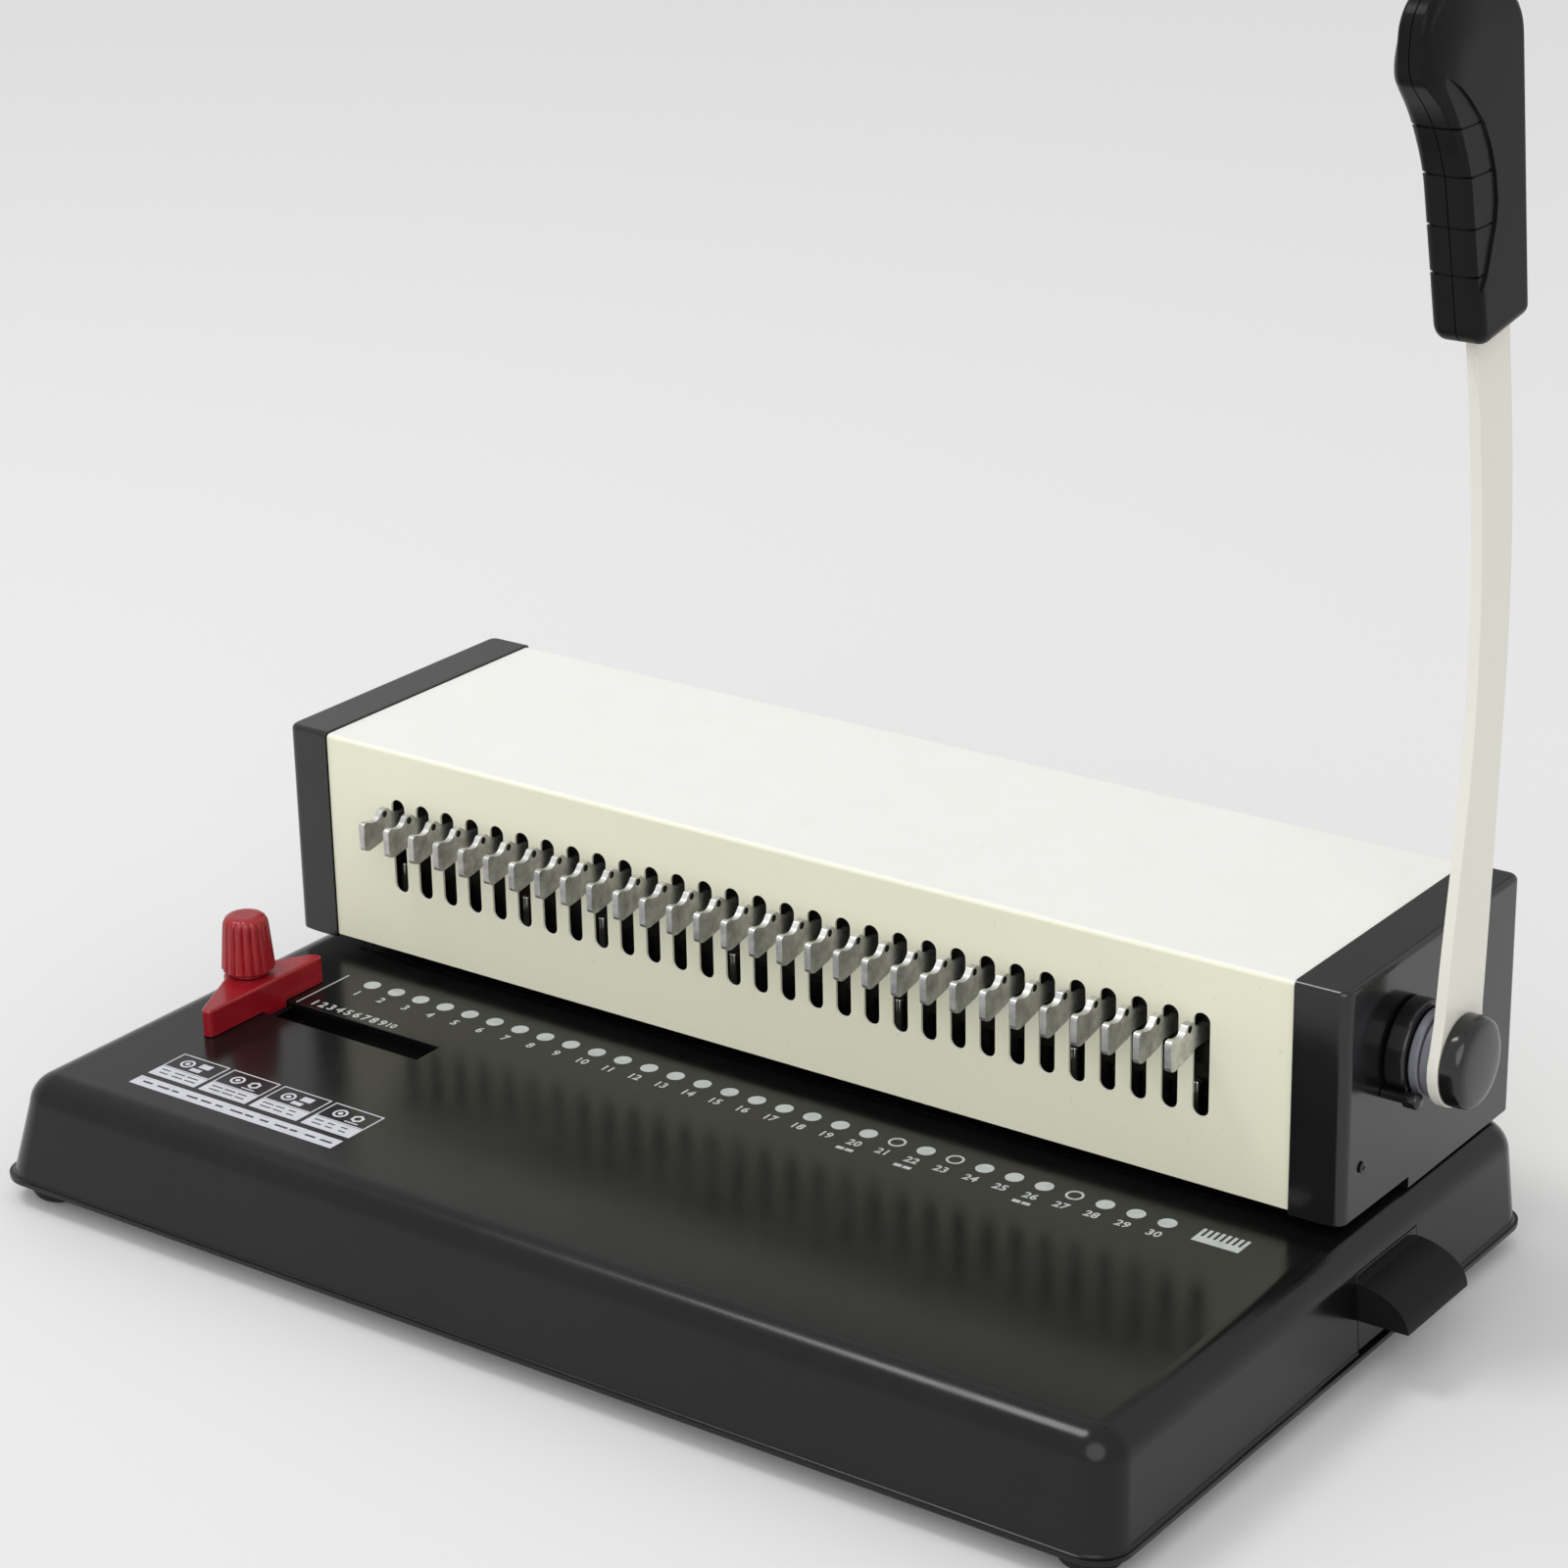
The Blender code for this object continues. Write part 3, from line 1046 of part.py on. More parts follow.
# Edge guide
def build_guide():
    bottom = TABLE_Z + GAP
    top = bottom + GUIDE_BLOCK_HEIGHT
    tip = GUIDE_FACE_X - GUIDE_TIP_WIDTH
    boss = arc((STUD_X, STUD_Y), GUIDE_BOSS_RADIUS, math.radians(118), math.radians(242), SLOT_STEPS)
    outline = [(GUIDE_FACE_X, GUIDE_BLOCK_FRONT), (GUIDE_FACE_X, GUIDE_BLOCK_BACK), (tip, GUIDE_BLOCK_BACK),
               *boss, (tip, GUIDE_BLOCK_FRONT)]
    hole = circle((STUD_X, STUD_Y), STUD_RADIUS + GAP, PIN_STEPS)
    guide = plate("edge_guide", [outline, hole], "Z", bottom, top, RED_PLASTIC, "guide")
    bevel(guide, GUIDE_EDGE, 2, lambda edge: all(vert.co.z > top - EMBED / 2 for vert in edge.verts)
          and any((vert.co.xy - Vector((STUD_X, STUD_Y))).length > STUD_HEAD_RADIUS for vert in edge.verts))
    tongue = block("tongue_shape", (GUIDE_FACE_X - TONGUE_LENGTH, TRACK_FRONT + GAP, SKIN_Z + GAP),
                   (GUIDE_FACE_X, TRACK_BACK - GAP, bottom + EMBED), None, "guide")
    join(guide, tongue)
    smooth(guide)
    clamp_top = SKIN_Z - GAP
    clamp_low = (STUD_X - CLAMP_LENGTH / 2, STUD_Y - CLAMP_WIDTH / 2)
    clamp_high = (STUD_X + CLAMP_LENGTH / 2, STUD_Y + CLAMP_WIDTH / 2)
    plate("clamp_plate", [rectangle(clamp_low, clamp_high), hole], "Z", clamp_top - CLAMP_SHEET,
          clamp_top, STEEL, "guide")
    knob_z = top + GAP
    stud_top = knob_z + KNOB_NECK + KNOB_HEIGHT / 2
    stud_low = clamp_top - CLAMP_SHEET - SCREW_HEAD - GAP
    head_top = stud_low + SCREW_HEAD
    stud = [(0, stud_top), (STUD_RADIUS, stud_top), (STUD_RADIUS, head_top), (STUD_HEAD_RADIUS, head_top),
            (STUD_HEAD_RADIUS, stud_low), (0, stud_low)]
    turned("guide_stud", stud, "Z", (STUD_X, STUD_Y, 0), STEEL, "guide", steps=PIN_STEPS)
    build_knob(knob_z, stud_top)


def build_knob(knob_z, stud_top):
    """A tapered knob: every second edge of a cone is drawn in, which leaves the flutes."""
    worked = bmesh.new()
    bmesh.ops.create_cone(worked, cap_ends=True, segments=2 * KNOB_FLUTES, radius1=KNOB_LOW_RADIUS,
                          radius2=KNOB_TOP_RADIUS, depth=KNOB_HEIGHT)
    for vert in worked.verts:
        turn = math.atan2(vert.co.y, vert.co.x) * KNOB_FLUTES / math.pi
        if round(turn) % 2:
            vert.co.x *= KNOB_FLUTE_SHARE
            vert.co.y *= KNOB_FLUTE_SHARE
    crown = [edge for edge in worked.edges if all(vert.co.z > 0 for vert in edge.verts)]
    bmesh.ops.bevel(worked, geom=crown, offset=KNOB_EDGE, offset_type="OFFSET", affect="EDGES", segments=2,
                    profile=0.5, material=-1)
    middle = knob_z + KNOB_NECK + KNOB_HEIGHT / 2
    bmesh.ops.translate(worked, vec=(STUD_X, STUD_Y, middle), verts=worked.verts)
    knob = finish(worked, "guide_knob", RED_PLASTIC, "guide")
    neck = rod("knob_neck", "Z", (STUD_X, STUD_Y), knob_z, knob_z + KNOB_NECK + EMBED, KNOB_NECK_RADIUS,
               None, "guide")
    bore = rod("knob_bore", "Z", (STUD_X, STUD_Y), knob_z - OVERRUN, stud_top + GAP, STUD_RADIUS + GAP,
               None, "guide", PIN_STEPS)
    join(knob, neck)
    cut(knob, bore)
    smooth(knob, 25)


build_base()
build_bottom()
build_frames()
build_die()
build_punch()
build_shaft()
build_opener()
build_cover()
build_caps()
build_lever()
build_grip()
build_pivot()
build_tray()
build_pull()
build_guide()
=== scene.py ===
# %% [markdown]
# A desk punch for loose-leaf sheets, with a row of ring opener hooks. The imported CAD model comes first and
# stays as it is: it says where everything sits and what moves. Each step below dresses one piece of it.

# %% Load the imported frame
import json
import math

import bmesh
import bpy
from mathutils import Matrix, Vector

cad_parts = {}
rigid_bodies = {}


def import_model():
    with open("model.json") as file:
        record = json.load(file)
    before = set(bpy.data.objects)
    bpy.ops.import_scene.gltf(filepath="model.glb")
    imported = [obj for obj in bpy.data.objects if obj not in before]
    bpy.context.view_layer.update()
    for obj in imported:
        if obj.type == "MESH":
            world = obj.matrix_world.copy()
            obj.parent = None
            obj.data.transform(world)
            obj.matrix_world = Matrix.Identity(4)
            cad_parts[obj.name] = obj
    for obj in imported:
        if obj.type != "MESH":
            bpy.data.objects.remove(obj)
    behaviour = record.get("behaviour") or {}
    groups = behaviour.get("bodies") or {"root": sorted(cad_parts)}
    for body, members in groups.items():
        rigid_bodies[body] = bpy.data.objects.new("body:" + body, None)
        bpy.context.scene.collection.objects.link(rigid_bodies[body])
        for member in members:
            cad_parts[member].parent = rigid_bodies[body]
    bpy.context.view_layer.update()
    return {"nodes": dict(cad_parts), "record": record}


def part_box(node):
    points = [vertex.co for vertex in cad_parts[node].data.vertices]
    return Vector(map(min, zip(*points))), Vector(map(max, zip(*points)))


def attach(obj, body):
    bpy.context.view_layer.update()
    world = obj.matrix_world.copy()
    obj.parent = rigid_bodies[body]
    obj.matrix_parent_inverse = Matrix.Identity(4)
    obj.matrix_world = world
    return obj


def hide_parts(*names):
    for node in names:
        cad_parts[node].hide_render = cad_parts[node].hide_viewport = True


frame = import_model()
nodes = frame["nodes"]


# %% [markdown]
# The camera stands where the photographer stood: in front of the machine, to its right and a little above,
# with a long lens. Three turns aim it: round the machine, down to the table, and a slight roll.

# %% Camera
MM = 0.001
LENS, CAMERA_PLACE = 92.815, (0.60970, -0.81826, 0.52845)
ROUND, DOWN, ROLL = 36.345, 21.152, -1.138


def new_object(name, data):
    thing = bpy.data.objects.new(name, data)
    bpy.context.scene.collection.objects.link(thing)
    return thing


def turn_by(degrees, axis):
    return Matrix.Rotation(math.radians(degrees), 4, axis)


lens = bpy.data.cameras.new("studio_camera")
lens.sensor_width, lens.lens, lens.clip_end = 36, LENS, 60
camera = new_object("studio_camera", lens)
camera.matrix_world = (Matrix.Translation(CAMERA_PLACE)
                       @ (turn_by(ROUND, "Z") @ turn_by(90 - DOWN, "X") @ turn_by(ROLL, "Z")))
bpy.context.scene.camera = camera
print("camera at", [round(value, 3) for value in camera.location])


# %% [markdown]
# A sweep of pale paper is the usual floor for such a picture. It could be a bent sheet behind the machine;
# here it is one wide round sheet, so that every side view sees the same plain ground.

# %% Floor
paper = bpy.data.materials.new("studio_paper")
paper.use_nodes = True
for label, value in (("Base Color", (0.78, 0.78, 0.78, 1)), ("Roughness", 0.9), ("Specular IOR Level", 0.15)):
    paper.node_tree.nodes["Principled BSDF"].inputs[label].default_value = value

sheet = bmesh.new()
bmesh.ops.create_circle(sheet, cap_ends=True, radius=9.0, segments=96)
floor_mesh = bpy.data.meshes.new("floor")
sheet.to_mesh(floor_mesh)
sheet.free()
floor_mesh.materials.append(paper)
floor = new_object("floor", floor_mesh)
print("floor is", round(floor.dimensions.x, 1), "m across")


# %% [markdown]
# Soft studio light: an even pale room, a small panel at the upper left that draws the lines of light along
# the front edges, and a wide window at the front right. Each lamp is placed and pointed at a target.

# %% Lamps
def new_lamp(name, kind, power, place, target, **shape):
    data = bpy.data.lights.new(name, kind)
    data.energy = power
    for label, value in shape.items():
        setattr(data, label, value)
    aim = (Vector(target) - Vector(place)).to_track_quat("-Z", "Y").to_matrix().to_4x4()
    new_object(name, data).matrix_world = Matrix.Translation(place) @ aim


new_lamp("key_panel", "AREA", 10.0, (-0.74, -0.53, 1.92), (0, 0, 0.06), shape="SQUARE", size=0.6)
new_lamp("window", "SUN", 0.93, (0.42, -0.80, 0.62), (0, 0, 0), angle=math.radians(50))


# %% [markdown]
# The room is a pale world with one dimmer corner behind the paper. That corner keeps black plastic black,
# because a glossy table seen at a low angle mirrors whatever stands behind it. Its helpers serve every
# material below: each adds one node and takes a number or another node's output for a socket.

# %% Room
ROOM_CORNER, OPEN_ROOM, DIM_CORNER = Vector((-0.30, 0.85, 0.42)), 0.73, 0.34


def plug(tree, value, socket):
    if isinstance(value, bpy.types.NodeSocket):
        tree.links.new(value, socket)
    else:
        socket.default_value = value


def add_node(tree, kind, operation=None, **inputs):
    node = tree.nodes.new("ShaderNode" + kind)
    if operation:
        node.operation = operation
    for label, value in inputs.items():
        plug(tree, value, node.inputs[label.replace("_", " ")])
    return node


def add_math(tree, operation, *values, kind="Math"):
    node = add_node(tree, kind, operation)
    for value, socket in zip(values, node.inputs):
        plug(tree, value, socket)
    return node.outputs["Value"]


def add_range(tree, value, low, high, to_low=0.0, to_high=1.0):
    return add_node(tree, "MapRange", Value=value, From_Min=low, From_Max=high, To_Min=to_low,
                    To_Max=to_high).outputs["Result"]


room = bpy.data.worlds.new("studio_room")
bpy.context.scene.world = room
room.use_nodes = True
tree, backdrop = room.node_tree, room.node_tree.nodes["Background"].inputs
towards = add_math(tree, "DOT_PRODUCT", add_node(tree, "TexCoord").outputs["Generated"],
                   ROOM_CORNER.normalized(), kind="VectorMath")
plug(tree, add_range(tree, towards, 0.905, 0.965, OPEN_ROOM, DIM_CORNER), backdrop["Strength"])
plug(tree, (1.0, 1.0, 1.0, 1), backdrop["Color"])
bpy.context.scene.view_settings.view_transform = "Standard"
print("room strength from", OPEN_ROOM, "to", DIM_CORNER)


# %% [markdown]
# Real finishes are never one flat colour. Moulded plastic has a fine sparkle from the tool's etched
# surface, paint has orange peel, plated steel has drawing marks, and every surface that hands touch has
# dull patches. Each of these effects is one node group with named sockets, built once and placed in every
# material that needs it with its own values.

# %% Effects: grain and orange peel
def new_effect(name, label, value, outputs):
    """A node group with one named input; gives back the group, its inputs and its outputs."""
    effect = bpy.data.node_groups.new(name, "ShaderNodeTree")
    face = effect.interface
    face.new_socket(name=label, in_out="INPUT", socket_type="NodeSocketFloat").default_value = value
    for output in outputs:
        face.new_socket(name=output, in_out="OUTPUT", socket_type="NodeSocketFloat")
    given = effect.nodes.new("NodeGroupInput").outputs[label]
    return effect, given, effect.nodes.new("NodeGroupOutput").inputs


def object_place(tree):
    return add_node(tree, "TexCoord").outputs["Object"]


def add_noise(tree, scale, detail=2.0, roughness=0.5, distortion=0.0, vector=None):
    vector = object_place(tree) if vector is None else vector
    return add_node(tree, "TexNoise", Vector=vector, Scale=scale, Detail=detail, Roughness=roughness,
                    Distortion=distortion).outputs["Fac"]


grain, given, out = new_effect("moulded_grain", "Grains per metre", 1500.0, ["Height", "Mottle"])
plug(grain, add_noise(grain, given, 2.0, 0.6), out["Height"])
plug(grain, add_noise(grain, 34.0, 3.0, 0.6), out["Mottle"])

peel, given, out = new_effect("orange_peel", "Waves per metre", 420.0, ["Height", "Tone"])
plug(peel, add_noise(peel, given, 1.0, 0.4), out["Height"])
plug(peel, add_noise(peel, 9.0, 2.0, 0.5), out["Tone"])
print("effects:", grain.name, peel.name)

# %% Effects: handling marks, dust and painted top sheen
marks, given, out = new_effect("handling_marks", "Patches per metre", 28.0, ["Smudge", "Speck"])
plug(marks, add_range(marks, add_noise(marks, given, 4.0, 0.62, 0.6), 0.50, 0.72), out["Smudge"])
plug(marks, add_range(marks, add_noise(marks, 900.0, 1.0, 0.5), 0.74, 0.80), out["Speck"])

dust_and_sheen, given, out = new_effect("settled_dust_and_top_sheen", "Amount", 1.0, ["Dust", "Painted top sheen"])
facing = add_node(dust_and_sheen, "SeparateXYZ", Vector=add_node(dust_and_sheen, "TexCoord").outputs["Normal"])
upward = add_range(dust_and_sheen, facing.outputs["Z"], 0.5, 1.0)
veil = add_range(dust_and_sheen, add_noise(dust_and_sheen, 60.0, 5.0, 0.7), 0.40, 0.75)
# The mask of faces that look up also goes out on its own; the paints use it for a painted top sheen.
plug(dust_and_sheen, upward, out["Painted top sheen"])
plug(dust_and_sheen, add_math(dust_and_sheen, "MULTIPLY", add_math(dust_and_sheen, "MULTIPLY", upward, veil), given), out["Dust"])
print("effects:", marks.name, dust_and_sheen.name)

# %% Effects: rubbed edges and drawing marks
worn, given, out = new_effect("rubbed_edges", "Rubbing", 1.0, ["Edge"])
rounded = add_node(worn, "Bevel", Radius=0.0009)
rounded.samples = 4
turned = add_math(worn, "DOT_PRODUCT", rounded.outputs["Normal"],
                  add_node(worn, "NewGeometry").outputs["True Normal"], kind="VectorMath")
edge = add_range(worn, turned, 0.995, 0.93)
broken = add_range(worn, add_noise(worn, 260.0, 3.0, 0.6), 0.42, 0.62)
plug(worn, add_math(worn, "MULTIPLY", add_math(worn, "MULTIPLY", edge, broken), given), out["Edge"])

streaks, given, out = new_effect("drawing_marks", "Lines per metre", 3000.0, ["Line", "Cloud"])
along = add_node(streaks, "Mapping", Vector=object_place(streaks), Scale=(0.02, 1.0, 1.0))
plug(streaks, add_noise(streaks, given, 2.0, 0.6, vector=along.outputs["Vector"]), out["Line"])
plug(streaks, add_noise(streaks, 260.0, 3.0, 0.6), out["Cloud"])
print("effects:", worn.name, streaks.name)


# %% [markdown]
# A finish is a Principled shader whose fixed numbers are written on its own sockets. What changes over
# the surface comes from the effects: two colours mixed by a mask, a roughness band, and a fine bump.

# %% Finish helpers
def start_finish(name, specular=0.5, metallic=0.0, coat=0.0):
    finish = bpy.data.materials.new(name)
    finish.use_nodes = True
    skin = finish.node_tree.nodes["Principled BSDF"].inputs
    for label, value in (("Metallic", metallic), ("Specular IOR Level", specular), ("Coat Weight", coat),
                         ("Coat Roughness", 0.12)):
        skin[label].default_value = value
    return finish, finish.node_tree, skin


def place_effect(tree, effect, **values):
    node = tree.nodes.new("ShaderNodeGroup")
    node.node_tree = effect
    for label, value in values.items():
        node.inputs[label.replace("_", " ")].default_value = value
    return node.outputs


def mix_colour(tree, mask, first, second):
    """The first colour where the mask is 0, the second where it is 1; a colour may be another mix."""
    mix = add_node(tree, "Mix")
    mix.data_type = "RGBA"
    plug(tree, mask, mix.inputs["Factor"])
    for colour, socket in ((first, mix.inputs[6]), (second, mix.inputs[7])):
        plug(tree, colour if isinstance(colour, bpy.types.NodeSocket) else (*colour, 1), socket)
    return mix.outputs[2]


def tinted(colour, share):
    return [value * share for value in colour]


def set_roughness(tree, skin, pattern, low, high, smudge, lift):
    """A band of roughness along a pattern, and a lift where hands have been."""
    band = add_range(tree, pattern, 0.3, 0.7, low, high)
    plug(tree, add_math(tree, "ADD", band, add_math(tree, "MULTIPLY", smudge, lift)), skin["Roughness"])


def set_bump(tree, skin, height, depth):
    bump = add_node(tree, "Bump", Strength=1.0, Distance=depth, Height=height)
    plug(tree, bump.outputs["Normal"], skin["Normal"])


# %% [markdown]
# Black parts: the base is a fine satin that mirrors the cover softly, the end caps and the pivot are
# glossier, and the grip is a soft-touch plastic with a lower refraction, so its sides mirror less. One
# function makes them, and the red, lilac and rubber parts too, because they are one family.

# %% Moulded plastics
def moulded_plastic(name, colour, worn_colour, rough, grains, depth, specular, dusty, smudged):
    finish, tree, skin = start_finish(name, specular)
    texture = place_effect(tree, grain, Grains_per_metre=grains)
    tone = mix_colour(tree, add_range(tree, texture["Mottle"], 0.35, 0.65), tinted(colour, 0.88),
                      tinted(colour, 1.14))
    tone = mix_colour(tree, place_effect(tree, worn, Rubbing=0.5)["Edge"], tone, worn_colour)
    tone = mix_colour(tree, place_effect(tree, dust_and_sheen, Amount=dusty)["Dust"], tone, (0.30, 0.29, 0.27))
    plug(tree, tone, skin["Base Color"])
    set_roughness(tree, skin, texture["Mottle"], rough - 0.03, rough + 0.03,
                  place_effect(tree, marks)["Smudge"], smudged)
    set_bump(tree, skin, texture["Height"], depth)
    return finish


PLASTICS = {  # colour, rubbed colour, roughness, grains per metre, bump depth in m, specular, dust, smudges
    "base_plastic": ((0.0042, 0.0042, 0.0046), (0.014, 0.014, 0.015), 0.20, 1500.0, 0.000010, 0.34, 0.004, 0.03),
    "cap_plastic": ((0.0060, 0.0060, 0.0068), (0.015, 0.015, 0.016), 0.15, 900.0, 0.000004, 0.6, 0.004, 0.05),
    "grip_plastic": ((0.0092, 0.0092, 0.0095), (0.016, 0.016, 0.017), 0.27, 1300.0, 0.000010, 1.0, 0.0, 0.0),
    "knob_plastic": ((0.300, 0.0070, 0.014), (0.42, 0.05, 0.05), 0.25, 1100.0, 0.000008, 0.5, 0.004, 0.03),
    "washer_nylon": ((0.155, 0.155, 0.185), (0.20, 0.20, 0.22), 0.42, 1200.0, 0.00002, 0.5, 0.0, 0.12),
    "foot_rubber": ((0.012, 0.012, 0.012), (0.03, 0.03, 0.03), 0.70, 700.0, 0.00005, 0.3, 0.05, 0.12)}
base_plastic, cap_plastic, grip_plastic, red_plastic, nylon, rubber = [
    moulded_plastic(name, *values) for name, values in PLASTICS.items()]
grip_plastic.node_tree.nodes["Principled BSDF"].inputs["IOR"].default_value = 1.12
print("plastics:", list(PLASTICS))


# %% [markdown]
# Painted sheet: the cover has a cream powder coat and the lever an ivory paint. Both carry a low orange
# peel that only shows where a light glances off it, and a faint yellowing in clouds. Faces that look up
# are painted paler and less yellow, a painted sheen for the light that falls on top.

# %% Paints
def baked_paint(name, colour, aged, painted_sheen_colour, rough, waves, depth, coat):
    finish, tree, skin = start_finish(name, 0.22, coat=coat)
    peeled = place_effect(tree, peel, Waves_per_metre=waves)
    touched = place_effect(tree, marks, Patches_per_metre=22.0)
    powder_and_sheen = place_effect(tree, dust_and_sheen, Amount=0.05)
    tone = mix_colour(tree, add_range(tree, peeled["Tone"], 0.35, 0.65), colour, aged)
    # Faces that look up are mixed towards a paler, less yellow colour: a painted sheen for the light on top.
    tone = mix_colour(tree, powder_and_sheen["Painted top sheen"], tone, painted_sheen_colour)
    tone = mix_colour(tree, powder_and_sheen["Dust"], tone, (0.45, 0.43, 0.38))
    tone = mix_colour(tree, add_math(tree, "MULTIPLY", touched["Speck"], 0.35), tone, tinted(colour, 0.55))
    plug(tree, tone, skin["Base Color"])
    plug(tree, add_range(tree, touched["Smudge"], 0.0, 1.0, rough, rough + 0.09), skin["Roughness"])
    set_bump(tree, skin, peeled["Height"], depth)
    return finish


# The third colour of each paint is its painted top sheen.
cream_paint = baked_paint("cream_paint", (0.825, 0.825, 0.660), (0.805, 0.800, 0.625), (0.840, 0.845, 0.805),
                          0.50, 520.0, 0.00002, 0.0)
ivory_paint = baked_paint("ivory_paint", (0.785, 0.775, 0.700), (0.765, 0.750, 0.670), (0.785, 0.775, 0.705),
                          0.28, 380.0, 0.00003, 0.15)
print("paints:", cream_paint.name, ivory_paint.name)


# %% [markdown]
# Metals: the hooks are plated strip with a tumbled, clouded face, the screws are brighter, the inside is
# plain ground steel, and the bushes are bronze. A metal's look is its reflections, so the effects go into
# roughness and a long fine bump, and the colour only clouds a little.

# %% Metals
def drawn_metal(name, colour, dull_colour, rough, lines, depth):
    finish, tree, skin = start_finish(name, metallic=1.0)
    drawn = place_effect(tree, streaks, Lines_per_metre=lines)
    tone = mix_colour(tree, add_range(tree, drawn["Cloud"], 0.35, 0.70), colour, dull_colour)
    plug(tree, tone, skin["Base Color"])
    set_roughness(tree, skin, drawn["Line"], rough - 0.04, rough + 0.05,
                  place_effect(tree, marks, Patches_per_metre=60.0)["Smudge"], 0.10)
    set_bump(tree, skin, drawn["Line"], depth)
    return finish


METALS = {  # colour, clouded colour, roughness, lines per metre, bump depth in m
    "plated_steel": ((0.76, 0.76, 0.74), (0.46, 0.46, 0.46), 0.40, 3000.0, 0.000006),
    "bright_steel": ((0.90, 0.90, 0.88), (0.78, 0.78, 0.76), 0.18, 3000.0, 0.000004),
    "ground_steel": ((0.52, 0.52, 0.52), (0.40, 0.40, 0.40), 0.32, 2400.0, 0.00001),
    "sintered_bronze": ((0.50, 0.33, 0.15), (0.38, 0.25, 0.12), 0.42, 1200.0, 0.00002),
    # The last steel is near-black: painted shade for the parts inside the cover, the hook rail and the hooks' eyes.
    "painted_shade_steel": ((0.045, 0.043, 0.040), (0.025, 0.024, 0.022), 0.45, 2400.0, 0.00001)}
plated_steel, bright_steel, ground_steel, sintered_bronze, painted_shade_steel = [
    drawn_metal(name, *values) for name, values in METALS.items()]
print("metals:", list(METALS))


# %% [markdown]
# Every CAD node first gets the finish of its slot. Most of the inside keeps its CAD shape for good: the
# die, the pins, the shaft, the cams and the racks are plain machined parts that hardly show. The punch unit
# is coloured near-black as painted shade, standing for the shade inside the cover, so the slots look black.

# %% Finishes for the CAD nodes
SLOT_FINISHES = {
    "black_plastic": base_plastic, "cream_paint": cream_paint, "ivory_paint": ivory_paint,
    "red_plastic": red_plastic, "rubber": rubber, "steel": ground_steel, "plated_steel": plated_steel,
    "bronze": sintered_bronze, "grey_nylon": nylon}
# These parts inside the cover get the near-black steel as painted shade, so the slots look black.
PAINTED_SHADE_PARTS = ("punch_pins", "pressure_bar", "paper_stop", "guide_plate", "die_plate", "rear_tie_rod", "cam_left",
        "cam_right", "side_frame_left", "side_frame_right")
slot_of = {part["node"]: part["material_slot"] for part in frame["record"]["subparts"]}
body_of = {node: body for body, group in frame["record"]["behaviour"]["bodies"].items() for node in group}
for name, node in nodes.items():
    node.data.materials.clear()
    node.data.materials.append(painted_shade_steel if name in PAINTED_SHADE_PARTS else SLOT_FINISHES[slot_of[name]])
print("finished nodes:", len(slot_of))


# %% [markdown]
# Now the pieces. Each one is a bmesh: it starts from a cube, a circle or one drawn outline, and bmesh
# operators shape it. The first helpers draw an outline and pull it to a plate. Operators that add geometry
# give back all of it, so one helper picks the new points, the ones that are moved next.

# %% Draw and pull
def new_box(low, high):
    low, high = Vector(low), Vector(high)
    work = bmesh.new()
    bmesh.ops.create_cube(work, size=1)
    bmesh.ops.scale(work, vec=high - low, verts=work.verts)
    return shift(work, (low + high) / 2)


def new_rod(radius, length, segments):
    work = bmesh.new()
    bmesh.ops.create_cone(work, cap_ends=True, segments=segments, radius1=radius, radius2=radius, depth=length)
    return work


def shift(work, step, points=None):
    bmesh.ops.translate(work, vec=step, verts=work.verts if points is None else points)
    return work


def points_of(made):
    return [item for item in made["geom"] if isinstance(item, bmesh.types.BMVert)]


def flat_outline(corners):
    work = bmesh.new()
    work.faces.new([work.verts.new(corner) for corner in corners])
    return work


def pull_outline(work, step):
    return shift(work, step, points_of(bmesh.ops.extrude_face_region(work, geom=list(work.faces))))


def on_axis(axis, along, first=0, second=0):
    """A point from its place along an axis and its two other coordinates, in the order x, y, z."""
    return {"X": (along, first, second), "Y": (first, along, second), "Z": (first, second, along)}[axis]


def drawn_plate(points, axis, low, high):
    outline = flat_outline([on_axis(axis, low, *point) for point in points])
    return face_outwards(pull_outline(outline, on_axis(axis, high - low)))


def arc_points(centre, radius, start, end, steps):
    turns = [math.radians(start + (end - start) * step / steps) for step in range(steps + 1)]
    return [(centre[0] + radius * math.cos(turn), centre[1] + radius * math.sin(turn)) for turn in turns]


# %% [markdown]
# A shell is open on one side while it gets its wall, and a full recalculation can turn an open shell inside
# out. So one helper recalculates and then checks which way most of the area looks along an axis. Boolean
# and Solidify are modifiers: they run on a spare object, and the result comes back as a bmesh.

# %% Open, cut and thicken
def face_outwards(work, axis=None, sign=1):
    bmesh.ops.recalc_face_normals(work, faces=work.faces)
    if axis is not None and sign * sum(face.normal[axis] * face.calc_area() for face in work.faces) < 0:
        bmesh.ops.reverse_faces(work, faces=work.faces)
    return work


def open_side(work, chosen):
    bmesh.ops.delete(work, geom=[face for face in work.faces if chosen(face)], context="FACES_ONLY")


def spare_object(work):
    mesh = bpy.data.meshes.new("spare")
    work.to_mesh(mesh)
    work.free()
    return new_object("spare", mesh)


def shown_mesh(spare):
    """What an object shows, modifiers and all, as a bmesh; the object and its data go."""
    bpy.context.view_layer.update()
    made = bpy.data.meshes.new_from_object(spare.evaluated_get(bpy.context.evaluated_depsgraph_get()))
    work = bmesh.new()
    work.from_mesh(made)
    bpy.data.batch_remove([spare, spare.data, made])
    return work


def modified(work, kind, **settings):
    spare = spare_object(work)
    change = spare.modifiers.new("change", kind)
    for label, value in settings.items():
        setattr(change, label, value)
    return shown_mesh(spare)


